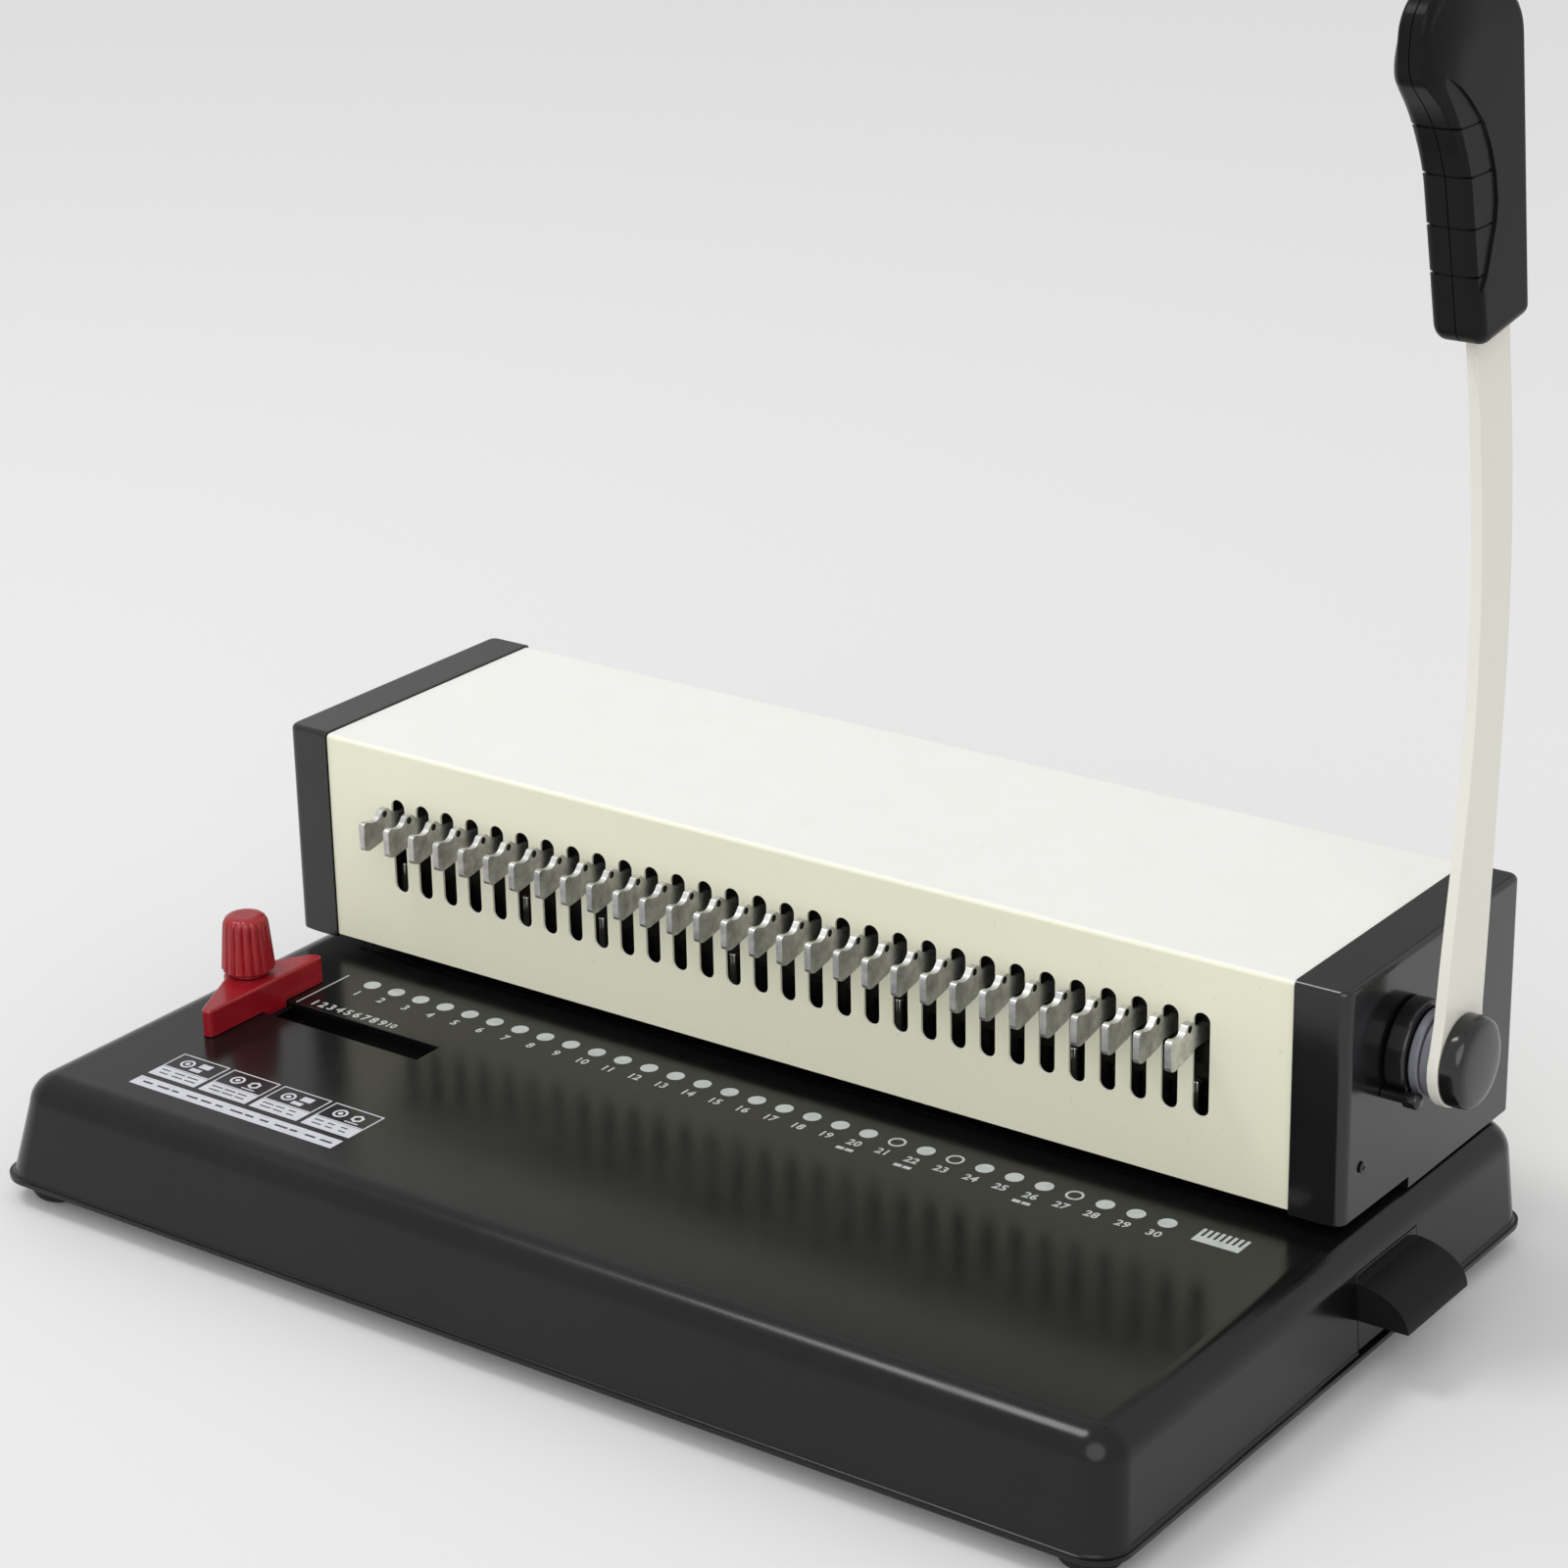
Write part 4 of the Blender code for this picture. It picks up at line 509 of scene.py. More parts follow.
def join_meshes(first, *others):
    for other in others:
        spare = spare_object(other)
        first.from_mesh(spare.data)
        bpy.data.batch_remove([spare, spare.data])
    return first


def carve(work, cutter, operation="DIFFERENCE"):
    tool = spare_object(cutter)
    work = modified(work, "BOOLEAN", object=tool, operation=operation, solver="EXACT")
    bpy.data.batch_remove([tool, tool.data])
    return work


def give_wall(work, thickness):
    """Thicken an open shell inwards; its faces must point outwards before this."""
    return modified(work, "SOLIDIFY", thickness=thickness, offset=-1, use_even_offset=True)


# %% [markdown]
# No real edge is a knife, so every piece has some of its edges rounded. An edge is chosen by where it lies
# or by how far it reaches, and only if its two faces meet at an angle.

# %% Round edges
def bevel(work, chosen, size, segments, clamp=False, affect="EDGES"):
    bmesh.ops.bevel(work, geom=chosen, offset=size, offset_type="OFFSET", affect=affect, segments=segments,
                    profile=0.5, clamp_overlap=clamp, material=-1)


def round_edges(work, radius, segments, chosen, least_angle=35):
    bevel(work, [edge for edge in work.edges if edge.calc_face_angle(0) > math.radians(least_angle)
                 and chosen(edge)], radius, segments, clamp=True)
    return work


def near(edge, axis, *values):
    """Both ends of the edge lie at one of these values of an axis."""
    return any(all(abs(vert.co[axis] - value) < 0.02 * MM for vert in edge.verts) for value in values)


def reaches(edge, axis, length):
    return abs(edge.verts[0].co[axis] - edge.verts[1].co[axis]) > length


# %% [markdown]
# A finished bmesh becomes a piece in one place. A piece that stands for CAD nodes rides on their body and
# hides them, so the body is not written twice; a piece that is new rides on the machine.

# %% Finish a piece
def new_piece(name, work, finish, stands_for=(), slot="black_plastic", sharp=38, recalculate=True):
    body = "machine"
    if stands_for:
        body, slot = body_of[stands_for[0]], slot_of[stands_for[0]]
    if recalculate:
        bmesh.ops.remove_doubles(work, verts=work.verts, dist=0.000001)
        face_outwards(work)
    mesh = bpy.data.meshes.new(name)
    work.to_mesh(mesh)
    work.free()
    mesh.materials.append(finish)
    mesh.shade_smooth()
    mesh.set_sharp_from_angle(angle=math.radians(sharp))
    piece = new_object(name, mesh)
    piece.modifiers.new("even_shading", "WEIGHTED_NORMAL").keep_sharp = True
    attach(piece, body)
    if stands_for:
        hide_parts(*stands_for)
    print(f"{name}: {len(mesh.polygons)} faces on {body}")
    return piece


def starting(first_words):
    return [name for name in sorted(nodes) if name.startswith(first_words)]


def span_mm(name, axis=0):
    return [corner[axis] * 1000 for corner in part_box(name)]


def middle_of(name, first, second):
    low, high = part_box(name)
    return (low[first] + high[first]) / 2, (low[second] + high[second]) / 2


def sides_of(name, sign):
    """A node's x at its inner and its outer side; sign is 1 on the right, -1 on the left."""
    return [corner.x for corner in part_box(name)[::sign]]


# %% [markdown]
# The base is one thin moulding, like an upturned tray: upright corners of 10 mm, an 8.5 mm shoulder, walls
# that lean in by 2 mm and more at the left and the front, and a small rim at the foot. It starts as a cube;
# bevels give the roundings, one extrude gives the rim, and the wall comes last.

# %% Base housing
base_low, base_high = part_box("base_housing")
panel_low, panel_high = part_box("tray_pull")
table_z, side_top = base_high.z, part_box("tray_side_rear")[1].z
RIM, RIM_SHEET, LEAN, DOOR_GAP = 1.1 * MM, 1.6 * MM, 2.2 * MM, 0.3 * MM
MORE_LEFT, MORE_FRONT, CORNER, SHOULDER = 4.0 * MM, 1.5 * MM, 10 * MM, 8.5 * MM


def base_form():
    size = base_high - base_low
    wall = Vector((size.x - 2 * RIM, size.y - 2 * RIM, size.z - RIM_SHEET))
    work = new_box(-wall / 2, wall / 2)
    round_edges(work, CORNER, 10, lambda edge: edge.verts[0].co.z * edge.verts[1].co.z < 0)
    top = [vert for vert in work.verts if vert.co.z > 0]
    bmesh.ops.scale(work, vec=(1 - 2 * LEAN / wall.x, 1 - 2 * LEAN / wall.y, 1), verts=top)
    for vert in top:
        vert.co.x += MORE_LEFT if vert.co.x < 0 else 0
        vert.co.y += MORE_FRONT if vert.co.y < 0 else 0
    bevel(work, [edge for edge in work.edges if all(vert.co.z > 0 for vert in edge.verts)], SHOULDER, 10)
    open_side(work, lambda face: face.normal.z < -0.9)
    foot = [edge for edge in work.edges if edge.is_boundary]
    rim = points_of(bmesh.ops.extrude_edge_only(work, edges=foot))
    bmesh.ops.scale(work, vec=(size.x / wall.x, size.y / wall.y, 1), verts=rim)
    bevel(work, foot, 0.8 * MM, 3)
    shift(work, (base_low + base_high) / 2 + Vector((0, 0, RIM_SHEET / 2)))
    return give_wall(face_outwards(work), RIM_SHEET)


def base_openings():
    die_low, die_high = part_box("die_plate")
    below, above, side, room = table_z - 5 * MM, table_z + 5 * MM, 3 * MM, 0.6 * MM
    die_hole = new_box((die_low.x - side, die_low.y - room, below), (die_high.x + side, die_high.y + room, above))
    track_low = Vector((base_low.x + 17 * MM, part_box("edge_guide")[0].y + 22.5 * MM, below))
    track = new_box(track_low, track_low + Vector((78.5 * MM, 10 * MM, 10 * MM)))
    door = new_box((panel_low.x - 8 * MM, panel_low.y - DOOR_GAP, panel_low.z - 1 * MM),
                   (panel_high.x + 8 * MM, panel_high.y + DOOR_GAP, side_top + DOOR_GAP))
    print("track starts at", [round(value * 1000, 1) for value in track_low])
    return join_meshes(die_hole, track, door)


base_work = carve(base_form(), base_openings())
round_edges(base_work, 0.35 * MM, 2, lambda edge: near(edge, 2, table_z, base_low.z), 50)
new_piece("base_moulding", base_work, base_plastic, ["base_housing"])

# %% [markdown]
# A small channel under the guide's track keeps dust out of the machine. It is an open box with a wall.

# %% Track channel
channel = new_box((base_low.x + 12 * MM, -39.5 * MM, table_z - 8.2 * MM),
                  (base_low.x + 97 * MM, -18.5 * MM, table_z - 1.4 * MM))
open_side(channel, lambda face: face.normal.z > 0.9)
round_edges(channel, 1.0 * MM, 3, lambda edge: not edge.is_boundary)
new_piece("track_channel", give_wall(channel, 0.9 * MM), base_plastic, recalculate=False)


# %% [markdown]
# The cover is one bent sheet of steel, 0.8 mm thick, with thirty punched slots. Its bends are bevels on
# two edges of an open box, the wall is added inwards, and the slots are cut before their outer rims get a
# fine rounding, so that the paint catches the light round each slot as it does on the real sheet.

# %% Punch cover
cover_low, cover_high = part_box("punch_cover")
HOLES, PITCH, SLOT = 30, 9.5 * MM, 5.0 * MM
COVER_SHEET, BEND, MOUTH = 0.8 * MM, 1.3 * MM, 4.9 * MM
row_left = (cover_low.x + cover_high.x) / 2 - (HOLES - 1) * PITCH / 2
hole_x = [row_left + index * PITCH for index in range(HOLES)]
slot_low, slot_high = table_z + 24.5 * MM, table_z + 54.2 * MM
print("row of holes from", round(hole_x[0] * 1000, 2), "to", round(hole_x[-1] * 1000, 2))


def cover_form():
    work = new_box(cover_low, cover_high)
    open_side(work, lambda face: abs(face.normal.x) > 0.9 or face.normal.z < -0.9)
    for vert in work.verts:
        if vert.co.y < 0.05 and vert.co.z < table_z + 2 * MM:
            vert.co.z = table_z + MOUTH
    bevel(work, [edge for edge in work.edges if near(edge, 2, cover_high.z) and not edge.is_boundary], BEND, 6)
    return give_wall(face_outwards(work, 2), COVER_SHEET)


def slot_cutter(x):
    cutter = new_box((x - SLOT / 2, cover_low.y - 4 * MM, slot_low), (x + SLOT / 2, cover_low.y + 4 * MM, slot_high))
    return round_edges(cutter, SLOT / 2 - 0.01 * MM, 7, lambda edge: reaches(edge, 1, MM))


cover_work = carve(cover_form(), join_meshes(bmesh.new(), *map(slot_cutter, hole_x)))
round_edges(cover_work, 0.2 * MM, 2, lambda edge: near(edge, 1, cover_low.y) and all(
    slot_low - MM < vert.co.z < slot_high + MM for vert in edge.verts), 50)
new_piece("cover_sheet", cover_work, cream_paint, ["punch_cover"])


# %% [markdown]
# Two moulded caps close the ends of the cover. Seen from the side each is a plate with a step at its
# front foot, where the paper goes under. The drawn outline is pulled to the cap's width, its upright
# outer corners get a wide rounding and the rest a smaller one, and the inner side is left open.

# %% End caps
def end_cap(name, sign):
    low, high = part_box(name)
    inner, outer = sides_of(name, sign)
    step_y, step_z = low.y + 36.7 * MM, table_z + 4 * MM
    outline = [(low.y, step_z), (low.y, high.z), (high.y, high.z), (high.y, low.z), (step_y, low.z),
               (step_y, step_z)]
    work = drawn_plate(outline, "X", inner, outer)
    round_edges(work, 3.2 * MM, 8, lambda edge: near(edge, 0, outer) and near(edge, 1, low.y, high.y))
    round_edges(work, 1.7 * MM, 6, lambda edge: near(edge, 2, high.z) and not near(edge, 0, inner))
    round_edges(work, 0.5 * MM, 3, lambda edge: near(edge, 2, step_z, low.z) and all(
        abs(vert.co.x - inner) > 0.1 * MM for vert in edge.verts), 50)
    open_side(work, lambda face: abs(face.calc_center_median().x - inner) < 0.01 * MM)
    return give_wall(face_outwards(work, 0, sign), 2.0 * MM)


for side, sign in (("left", -1), ("right", 1)):
    new_piece("moulded_cap_" + side, end_cap("end_cap_" + side, sign), cap_plastic, ["end_cap_" + side],
              recalculate=False)


# %% [markdown]
# The hooks are stamped from 2 mm strip and plated. Light runs along their thickness, so the shape is drawn
# once in (y, z) mm from the top of its slot, its corners and edges are rounded, a small eye is punched near
# the cover with its inner wall coloured near-black as painted shade, and the finished hook is copied to every slot,
# where it runs along the left wall.

# %% Ring opener hooks
HOOK_OUTLINE = [
    (4.5, -4.4), (1.0, -4.2), (-0.6, -3.6), (-2.2, -2.9), (-4.2, -1.0), (-6.6, -1.2), (-8.0, -3.0), (-9.4, -3.7),
    (-11.5, -3.4), (-13.4, -2.7), (-14.6, -2.9), (-15.0, -3.6), (-15.0, -10.6), (-14.5, -11.4), (-12.9, -11.8),
    (-9.0, -11.1), (-5.1, -10.3), (-2.2, -9.0), (4.5, -9.0)]
HOOK_SHEET, EYE, EYE_PLACE = 2.0 * MM, 1.05 * MM, Vector((0, cover_low.y - 5.6 * MM, slot_high - 2.6 * MM))
TO_LEFT_WALL = 1.2 * MM


def one_hook():
    work = flat_outline([(0, cover_low.y + y * MM, slot_high + z * MM) for y, z in HOOK_OUTLINE])
    bevel(work, list(work.verts), 0.4 * MM, 2, clamp=True, affect="VERTICES")
    face_outwards(shift(pull_outline(work, (HOOK_SHEET, 0, 0)), (-HOOK_SHEET / 2, 0, 0)))
    round_edges(work, 0.35 * MM, 2, lambda edge: near(edge, 0, HOOK_SHEET / 2, -HOOK_SHEET / 2), 60)
    eye = new_rod(EYE, 3 * HOOK_SHEET, 18)
    bmesh.ops.rotate(eye, verts=eye.verts, cent=(0, 0, 0), matrix=Matrix.Rotation(math.pi / 2, 3, "Y"))
    work = carve(work, shift(eye, EYE_PLACE))
    # The eye's inner wall takes the second finish, near-black steel: painted shade in the hole.
    for face in work.faces:
        spot = face.calc_center_median()
        if abs(spot.x) < 0.9 * HOOK_SHEET / 2 and ((spot - EYE_PLACE) * Vector((0, 1, 1))).length < 1.1 * EYE:
            face.material_index = 1
    return work


hooks_work = one_hook()
pattern = list(hooks_work.verts) + list(hooks_work.edges) + list(hooks_work.faces)
shift(hooks_work, (hole_x[0] - TO_LEFT_WALL, 0, 0))
for index in range(1, HOLES):
    shift(hooks_work, (index * PITCH, 0, 0), points_of(bmesh.ops.duplicate(hooks_work, geom=pattern)))
rail_low, rail_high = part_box("hook_rail")
rail_work = new_box((rail_low.x, cover_low.y + 4.2 * MM, rail_low.z), rail_high)
round_edges(rail_work, 0.3 * MM, 2, lambda edge: True)
# The rail inside the cover is all near-black steel: painted shade.
for face in rail_work.faces:
    face.material_index = 1
hooks = new_piece("opener_hooks", join_meshes(rail_work, hooks_work), plated_steel, ["hook_rail"])
hooks.data.materials.append(painted_shade_steel)


# %% [markdown]
# Through the feet of some slots the bright ends of screws show. They stand on the guide plate, in the
# narrow room between the hook rail in front and the pressure bar behind.

# %% Guide plate screws
SCREWED_HOLES = (1, 6, 9, 14, 20, 26, 30)
guide_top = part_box("guide_plate")[1].z


def guide_screw(number):
    stud = new_rod(1.35 * MM, 24.6 * MM, 20)
    round_edges(stud, 0.45 * MM, 3, lambda edge: all(vert.co.z > 0 for vert in edge.verts), 50)
    return shift(stud, (hole_x[number - 1] - 5.6 * MM, cover_low.y + 7.9 * MM, guide_top + 12.1 * MM))


new_piece("guide_plate_screws", join_meshes(bmesh.new(), *map(guide_screw, SCREWED_HOLES)), bright_steel,
          slot="plated_steel")


# %% [markdown]
# The edge guide is a red block that slides along a track in the table; the sheet's side edge rests against
# its straight face. From above it is a long wedge that swells to a round boss under the knob. One drawn
# outline gives it, its upper rims are rounded, and a tongue reaches down into the track.

# %% Edge guide
guide_low, guide_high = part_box("edge_guide")
stud_x, stud_y = middle_of("guide_knob", 0, 1)
BOSS, TIP, TONGUE = 7.5 * MM, 3.5 * MM, 4.7 * MM


def guide_form():
    face, tip = guide_high.x, guide_high.x - TIP
    boss = arc_points((stud_x, stud_y), BOSS, 118, 242, 18)
    outline = [(face, guide_low.y), (face, guide_high.y), (tip, guide_high.y), *boss, (tip, guide_low.y)]
    work = drawn_plate(outline, "Z", table_z + 0.3 * MM, guide_high.z)
    round_edges(work, 1.5 * MM, 4, lambda edge: reaches(edge, 2, 5 * MM), 50)
    round_edges(work, 0.8 * MM, 4, lambda edge: near(edge, 2, guide_high.z))
    tongue = new_box((face - 6 * MM, stud_y - TONGUE, guide_low.z), (face, stud_y + TONGUE, table_z + 1 * MM))
    return join_meshes(work, round_edges(tongue, 0.3 * MM, 2, lambda edge: True))


new_piece("guide_block", guide_form(), red_plastic, ["edge_guide"])


# %% [markdown]
# The knob has sixteen broad ribs with narrow valleys. A ring of 128 points is pulled up stage by stage;
# at each stage it gets a radius and a rib depth, so the ribs fade out into the neck and the crown.

# %% Clamping knob
KNOB_STAGES = [
    (0.0, 5.8, 0.0), (1.3, 5.8, 0.0), (1.45, 7.5, 0.05), (1.8, 7.95, 0.085), (6.0, 7.6, 0.10), (11.0, 7.2, 0.105),
    (15.4, 6.8, 0.10), (16.5, 6.6, 0.08), (17.4, 6.1, 0.05), (18.0, 5.4, 0.02), (18.35, 4.3, 0.0),
    (18.42, 3.0, 0.0), (18.30, 2.0, 0.0)]


def knob_form():
    work = bmesh.new()
    ring = bmesh.ops.create_circle(work, cap_ends=False, radius=1, segments=128)["verts"]
    foot = loop = list(work.edges)
    for number, (height, radius, depth) in enumerate(KNOB_STAGES):
        if number:
            made = bmesh.ops.extrude_edge_only(work, edges=loop)
            ring = points_of(made)
            loop = [item for item in made["geom"] if isinstance(item, bmesh.types.BMEdge)
                    and all(vert in ring for vert in item.verts)]
        for vert in ring:
            turn = math.atan2(vert.co.y, vert.co.x)
            rib = 1 - depth * (1 - abs(math.cos(8 * turn)) ** 0.7)
            vert.co = Vector((math.cos(turn), math.sin(turn), 0)) * radius * MM * rib + Vector((0, 0, height * MM))
    for rim in (loop, foot):
        bmesh.ops.contextual_create(work, geom=rim)
    return shift(work, (stud_x, stud_y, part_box("guide_knob")[0].z))


new_piece("ribbed_knob", knob_form(), red_plastic, ["guide_knob"], sharp=45)


# %% [markdown]
# The lever is a flat bar of painted steel, bowed forwards, with a round eye at its foot. Its CAD shape is
# right but its rims are sharp. A copy of the CAD mesh is merged, its coplanar triangles are joined, and
# the rims of the copy are rounded: the long soft highlight beside the edge comes from exactly that.

# %% Lever bar
bar_low, bar_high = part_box("lever_bar")
shaft_low, shaft_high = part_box("drive_shaft")
pivot = Vector(((shaft_low.y + shaft_high.y) / 2, shaft_low.z + 6 * MM))
EYE_ZONE, TANG_Z = 8 * MM, 0.272


def pivot_distance(vert):
    return (vert.co.yz - pivot).length


lever_work = bmesh.new()
lever_work.from_mesh(nodes["lever_bar"].data)
bmesh.ops.remove_doubles(lever_work, verts=lever_work.verts, dist=0.000002)
bmesh.ops.dissolve_limit(lever_work, angle_limit=math.radians(0.5), verts=lever_work.verts,
                         edges=lever_work.edges)
round_edges(lever_work, 0.75 * MM, 4, lambda edge: near(edge, 0, bar_low.x, bar_high.x) and all(
    pivot_distance(vert) > EYE_ZONE and vert.co.z < TANG_Z for vert in edge.verts), 50)
new_piece("lever_strip", lever_work, ivory_paint, ["lever_bar"])


# %% [markdown]
# The grip is two moulded half shells screwed together over the bar's tang. Its outline has six corners,
# each rounded by a vertex bevel before the plate is pulled; the outer rim then gets its full rounding.
# The hollow for the fingers is a shallow recess with five grooves across it. The grooves are slabs from
# which a slightly smaller grip is taken away, so that they keep an even depth round the corner.

# %% Lever grip
GRIP_CORNERS = [
    (54.70, 279.22, 3.0), (43.19, 364.60, 16.19), (0.38, 363.44, 9.0), (-1.50, 345.20, 5.0),
    (17.23, 328.30, 14.0), (29.18, 275.20, 5.0)]
FINGER_HOLLOW = [
    (-9.0, 346.8), (5.1, 345.0), (12.0, 341.4), (17.2, 337.6), (24.8, 330.9), (29.0, 324.2), (32.0, 317.5),
    (33.4, 311.0), (33.3, 306.0), (31.4, 299.5), (29.6, 293.3), (27.6, 290.2), (24.0, 288.2), (-9.0, 287.4)]
GROOVES = [(331.2, 24.0), (318.7, 31.2), (305.8, 32.9), (293.8, 29.3), (288.0, 23.0)]
GROOVE_HALF, GROOVE_DEPTH = 0.35, 0.3 * MM


def grip_form(inner, outer, inset=0.0):
    work = flat_outline([(inner, y * MM, z * MM) for y, z, run in GRIP_CORNERS])
    for corner, (y, z, run) in zip(list(work.verts), GRIP_CORNERS):
        bevel(work, [corner], run * MM, 12, affect="VERTICES")
    if inset:
        bmesh.ops.inset_region(work, faces=list(work.faces), thickness=inset, use_even_offset=True,
                               use_boundary=True)
        middle = max(work.faces, key=lambda face: face.calc_area())
        bmesh.ops.delete(work, geom=[face for face in work.faces if face is not middle], context="FACES")
    face_outwards(pull_outline(work, (outer - inner, 0, 0)))
    return round_edges(work, 4.3 * MM, 9, lambda edge: near(edge, 0, outer))


def soften_head(work, inner):
    """The head is a pebble: towards its outline the outer side curves in by up to 3 mm."""
    for axis, start, step, count in ((1, -1.0, 2.9, 17), (2, 327.0, 2.7, 14)):
        normal = Vector((0, axis == 1, axis == 2))
        for index in range(count):
            bmesh.ops.bisect_plane(work, geom=[*work.verts, *work.edges, *work.faces], dist=0.0000001,
                                   plane_co=normal * (start + index * step) * MM, plane_no=normal)
    for vert in work.verts:
        if vert.co.z > 0.327:
            below = max(0, 0.343 - vert.co.z)
            away = Vector((min(0, vert.co.y - 0.0213 - 0.6 * below), max(0, vert.co.z - 0.343))).length
            depth = min(1, max(0, (away - 0.009) / 0.0135)) ** 2 * min(1, (vert.co.z - 0.327) / 0.016)
            vert.co.x -= (vert.co.x - inner) * 0.42 * depth
    return work


def grip_half(name, sign):
    inner, outer = sides_of(name, sign)
    hollow = drawn_plate([(y * MM, z * MM) for y, z in FINGER_HOLLOW], "X",
                         *sorted((outer - sign * 0.65 * MM, outer + sign * 3 * MM)))
    work = carve(soften_head(grip_form(inner, outer), inner), hollow)
    round_edges(work, 0.4 * MM, 3, lambda edge: all(
        abs(vert.co.x - outer) < 1.2 * MM and 0.287 < vert.co.z < 0.341 for vert in edge.verts), 30)
    slabs = join_meshes(bmesh.new(), *[
        new_box((min(inner, outer) - 3 * MM, -12 * MM, (z - GROOVE_HALF) * MM),
                (max(inner, outer) + 3 * MM, reach * MM, (z + GROOVE_HALF) * MM)) for z, reach in GROOVES])
    core = grip_form(inner - sign * 5 * MM, outer - sign * 1.0 * MM, GROOVE_DEPTH)
    work = carve(work, carve(slabs, core))
    return round_edges(work, 0.35 * MM, 2, lambda edge: near(edge, 0, inner), 50)


for side, sign in (("left", -1), ("right", 1)):
    new_piece("grip_shell_" + side, grip_half("grip_half_" + side, sign), grip_plastic, ["grip_half_" + side],
              sharp=32)


# %% [markdown]
# Round parts are turned: a profile of (along, radius) points is spun once round its axis, as on a lathe.
# The hub on the right cap is a stack of such parts: a black bearing boss, a lilac nylon washer, a grey
# washer, the eye of the lever, and a domed cap that hides the bolt.

# %% Pivot hub
def turned_part(profile, axis, centre, steps=72):
    """Profile points are (along, radius) in mm; centre holds the other two coordinates of the axis."""
    first, second = (0, 1) if axis == "X" else (1, 0)
    work = bmesh.new()
    chain = [work.verts.new(on_axis(axis, along * MM, centre[0] + first * radius * MM,
                                    centre[1] + second * radius * MM)) for along, radius in profile]
    edges = [work.edges.new(pair) for pair in zip(chain, chain[1:])]
    bmesh.ops.spin(work, geom=chain + edges, cent=on_axis(axis, 0, *centre), axis=on_axis(axis, 1),
                   dvec=(0, 0, 0), angle=2 * math.pi, steps=steps, use_merge=True, use_duplicate=False)
    bmesh.ops.remove_doubles(work, verts=work.verts, dist=0.000001)
    return face_outwards(work)


HUB_BORE = 6.3
for name, node, radius, rounding, finish in (("bearing_disc", "bearing_boss", 13.6, 0.9, cap_plastic),
                                             ("lilac_washer", "spacer_washer_inner", 12, 0.6, nylon),
                                             ("grey_washer", "spacer_washer_outer", 11.6, 0.5, nylon)):
    start, end = span_mm(node)
    ring_profile = [(start, HUB_BORE), (start, radius), (end, radius), (end, HUB_BORE), (start, HUB_BORE)]
    ring = round_edges(turned_part(ring_profile, "X", pivot), rounding * MM, 3, lambda edge: all(
        pivot_distance(vert) > 0.9 * radius * MM for vert in edge.verts), 50)
    new_piece(name, ring, finish, [node])

# %% Bolt cap and stop peg
DOME = [(0.0, 12.5), (0.36, 12.5), (0.62, 12.35), (0.80, 11.9), (0.90, 11.0), (0.955, 9.0), (0.985, 5.5), (1.0, 0.0)]
start, end = span_mm("pivot_cap")
dome = turned_part([(start, 6.8)] + [(start + share * (end - start), radius) for share, radius in DOME], "X", pivot)
new_piece("domed_bolt_cap", dome, cap_plastic, ["pivot_cap"], sharp=50)

start, end = span_mm("stop_pin")
peg_profile = [(start, 0), (start, 1.5), (end - 5, 1.5), (end - 4.2, 2.3), (end - 1.2, 2.3), (end - 0.5, 2.05),
               (end - 0.1, 1.3), (end, 0)]
new_piece("stop_peg", turned_part(peg_profile, "X", middle_of("stop_pin", 1, 2), 32), cap_plastic, ["stop_pin"],
          sharp=50)


# %% [markdown]
# Small screws hold the caps, the grip and the bottom. Each is a low domed head with a cross recess: a
# turned head from which two thin bars are cut.

# %% Cross-head screws
def cross_screw(name, axis, sink, radius, height):
    """A head whose seat lies sink below the node's outer end, and a shank to its other end; all in mm."""
    start, end = span_mm(name, "XYZ".index(axis))
    centre = middle_of(name, *((1, 2) if axis == "X" else (0, 1)))
    out = 1 if name.startswith("cap_screw_right") else -1
    seat, tip = (end - sink, start) if out > 0 else (start + sink, end)
    top = seat + out * height
    work = turned_part([(tip, 0), (tip, radius * 0.45), (seat, radius * 0.45), (seat, radius),
                        (seat + out * height * 0.45, radius), (seat + out * height * 0.85, radius * 0.82),
                        (top, radius * 0.45), (top, 0)], axis, centre, 28)
    ends = sorted(((top - out * height * 0.6) * MM, (top + out) * MM))
    for wide, narrow in ((0.62, 0.13), (0.13, 0.62)):
        half = radius * wide * MM, radius * narrow * MM
        across = [[centre[0] + side * half[0], centre[1] + side * half[1]] for side in (-1, 1)]
        work = carve(work, new_box(*[on_axis(axis, place, *two) for place, two in zip(ends, across)]))
    return work


for piece_name, first_words, axis, sink, radius, height, finish in (
        ("cap_fixing_screws", "cap_screw", "X", 0.6, 1.6, 0.4, cap_plastic),
        ("bottom_screws", "base_screw", "Z", 1.6, 3.2, 1.6, ground_steel),
        ("grip_fixing_screws", "grip_screw", "X", 1.4, 2.7, 0.5, ground_steel)):
    screws = [cross_screw(name, axis, sink, radius, height) for name in starting(first_words)]
    new_piece(piece_name, join_meshes(bmesh.new(), *screws), finish, starting(first_words))


# %% [markdown]
# The chip drawer is one moulding: a long trough, and a front panel with a quarter-round pull whose hollow
# underside takes the fingertips. The trough is an open box with a wall; the pull is a drawn quarter of an
# ellipse, hollowed from below by a smaller one.

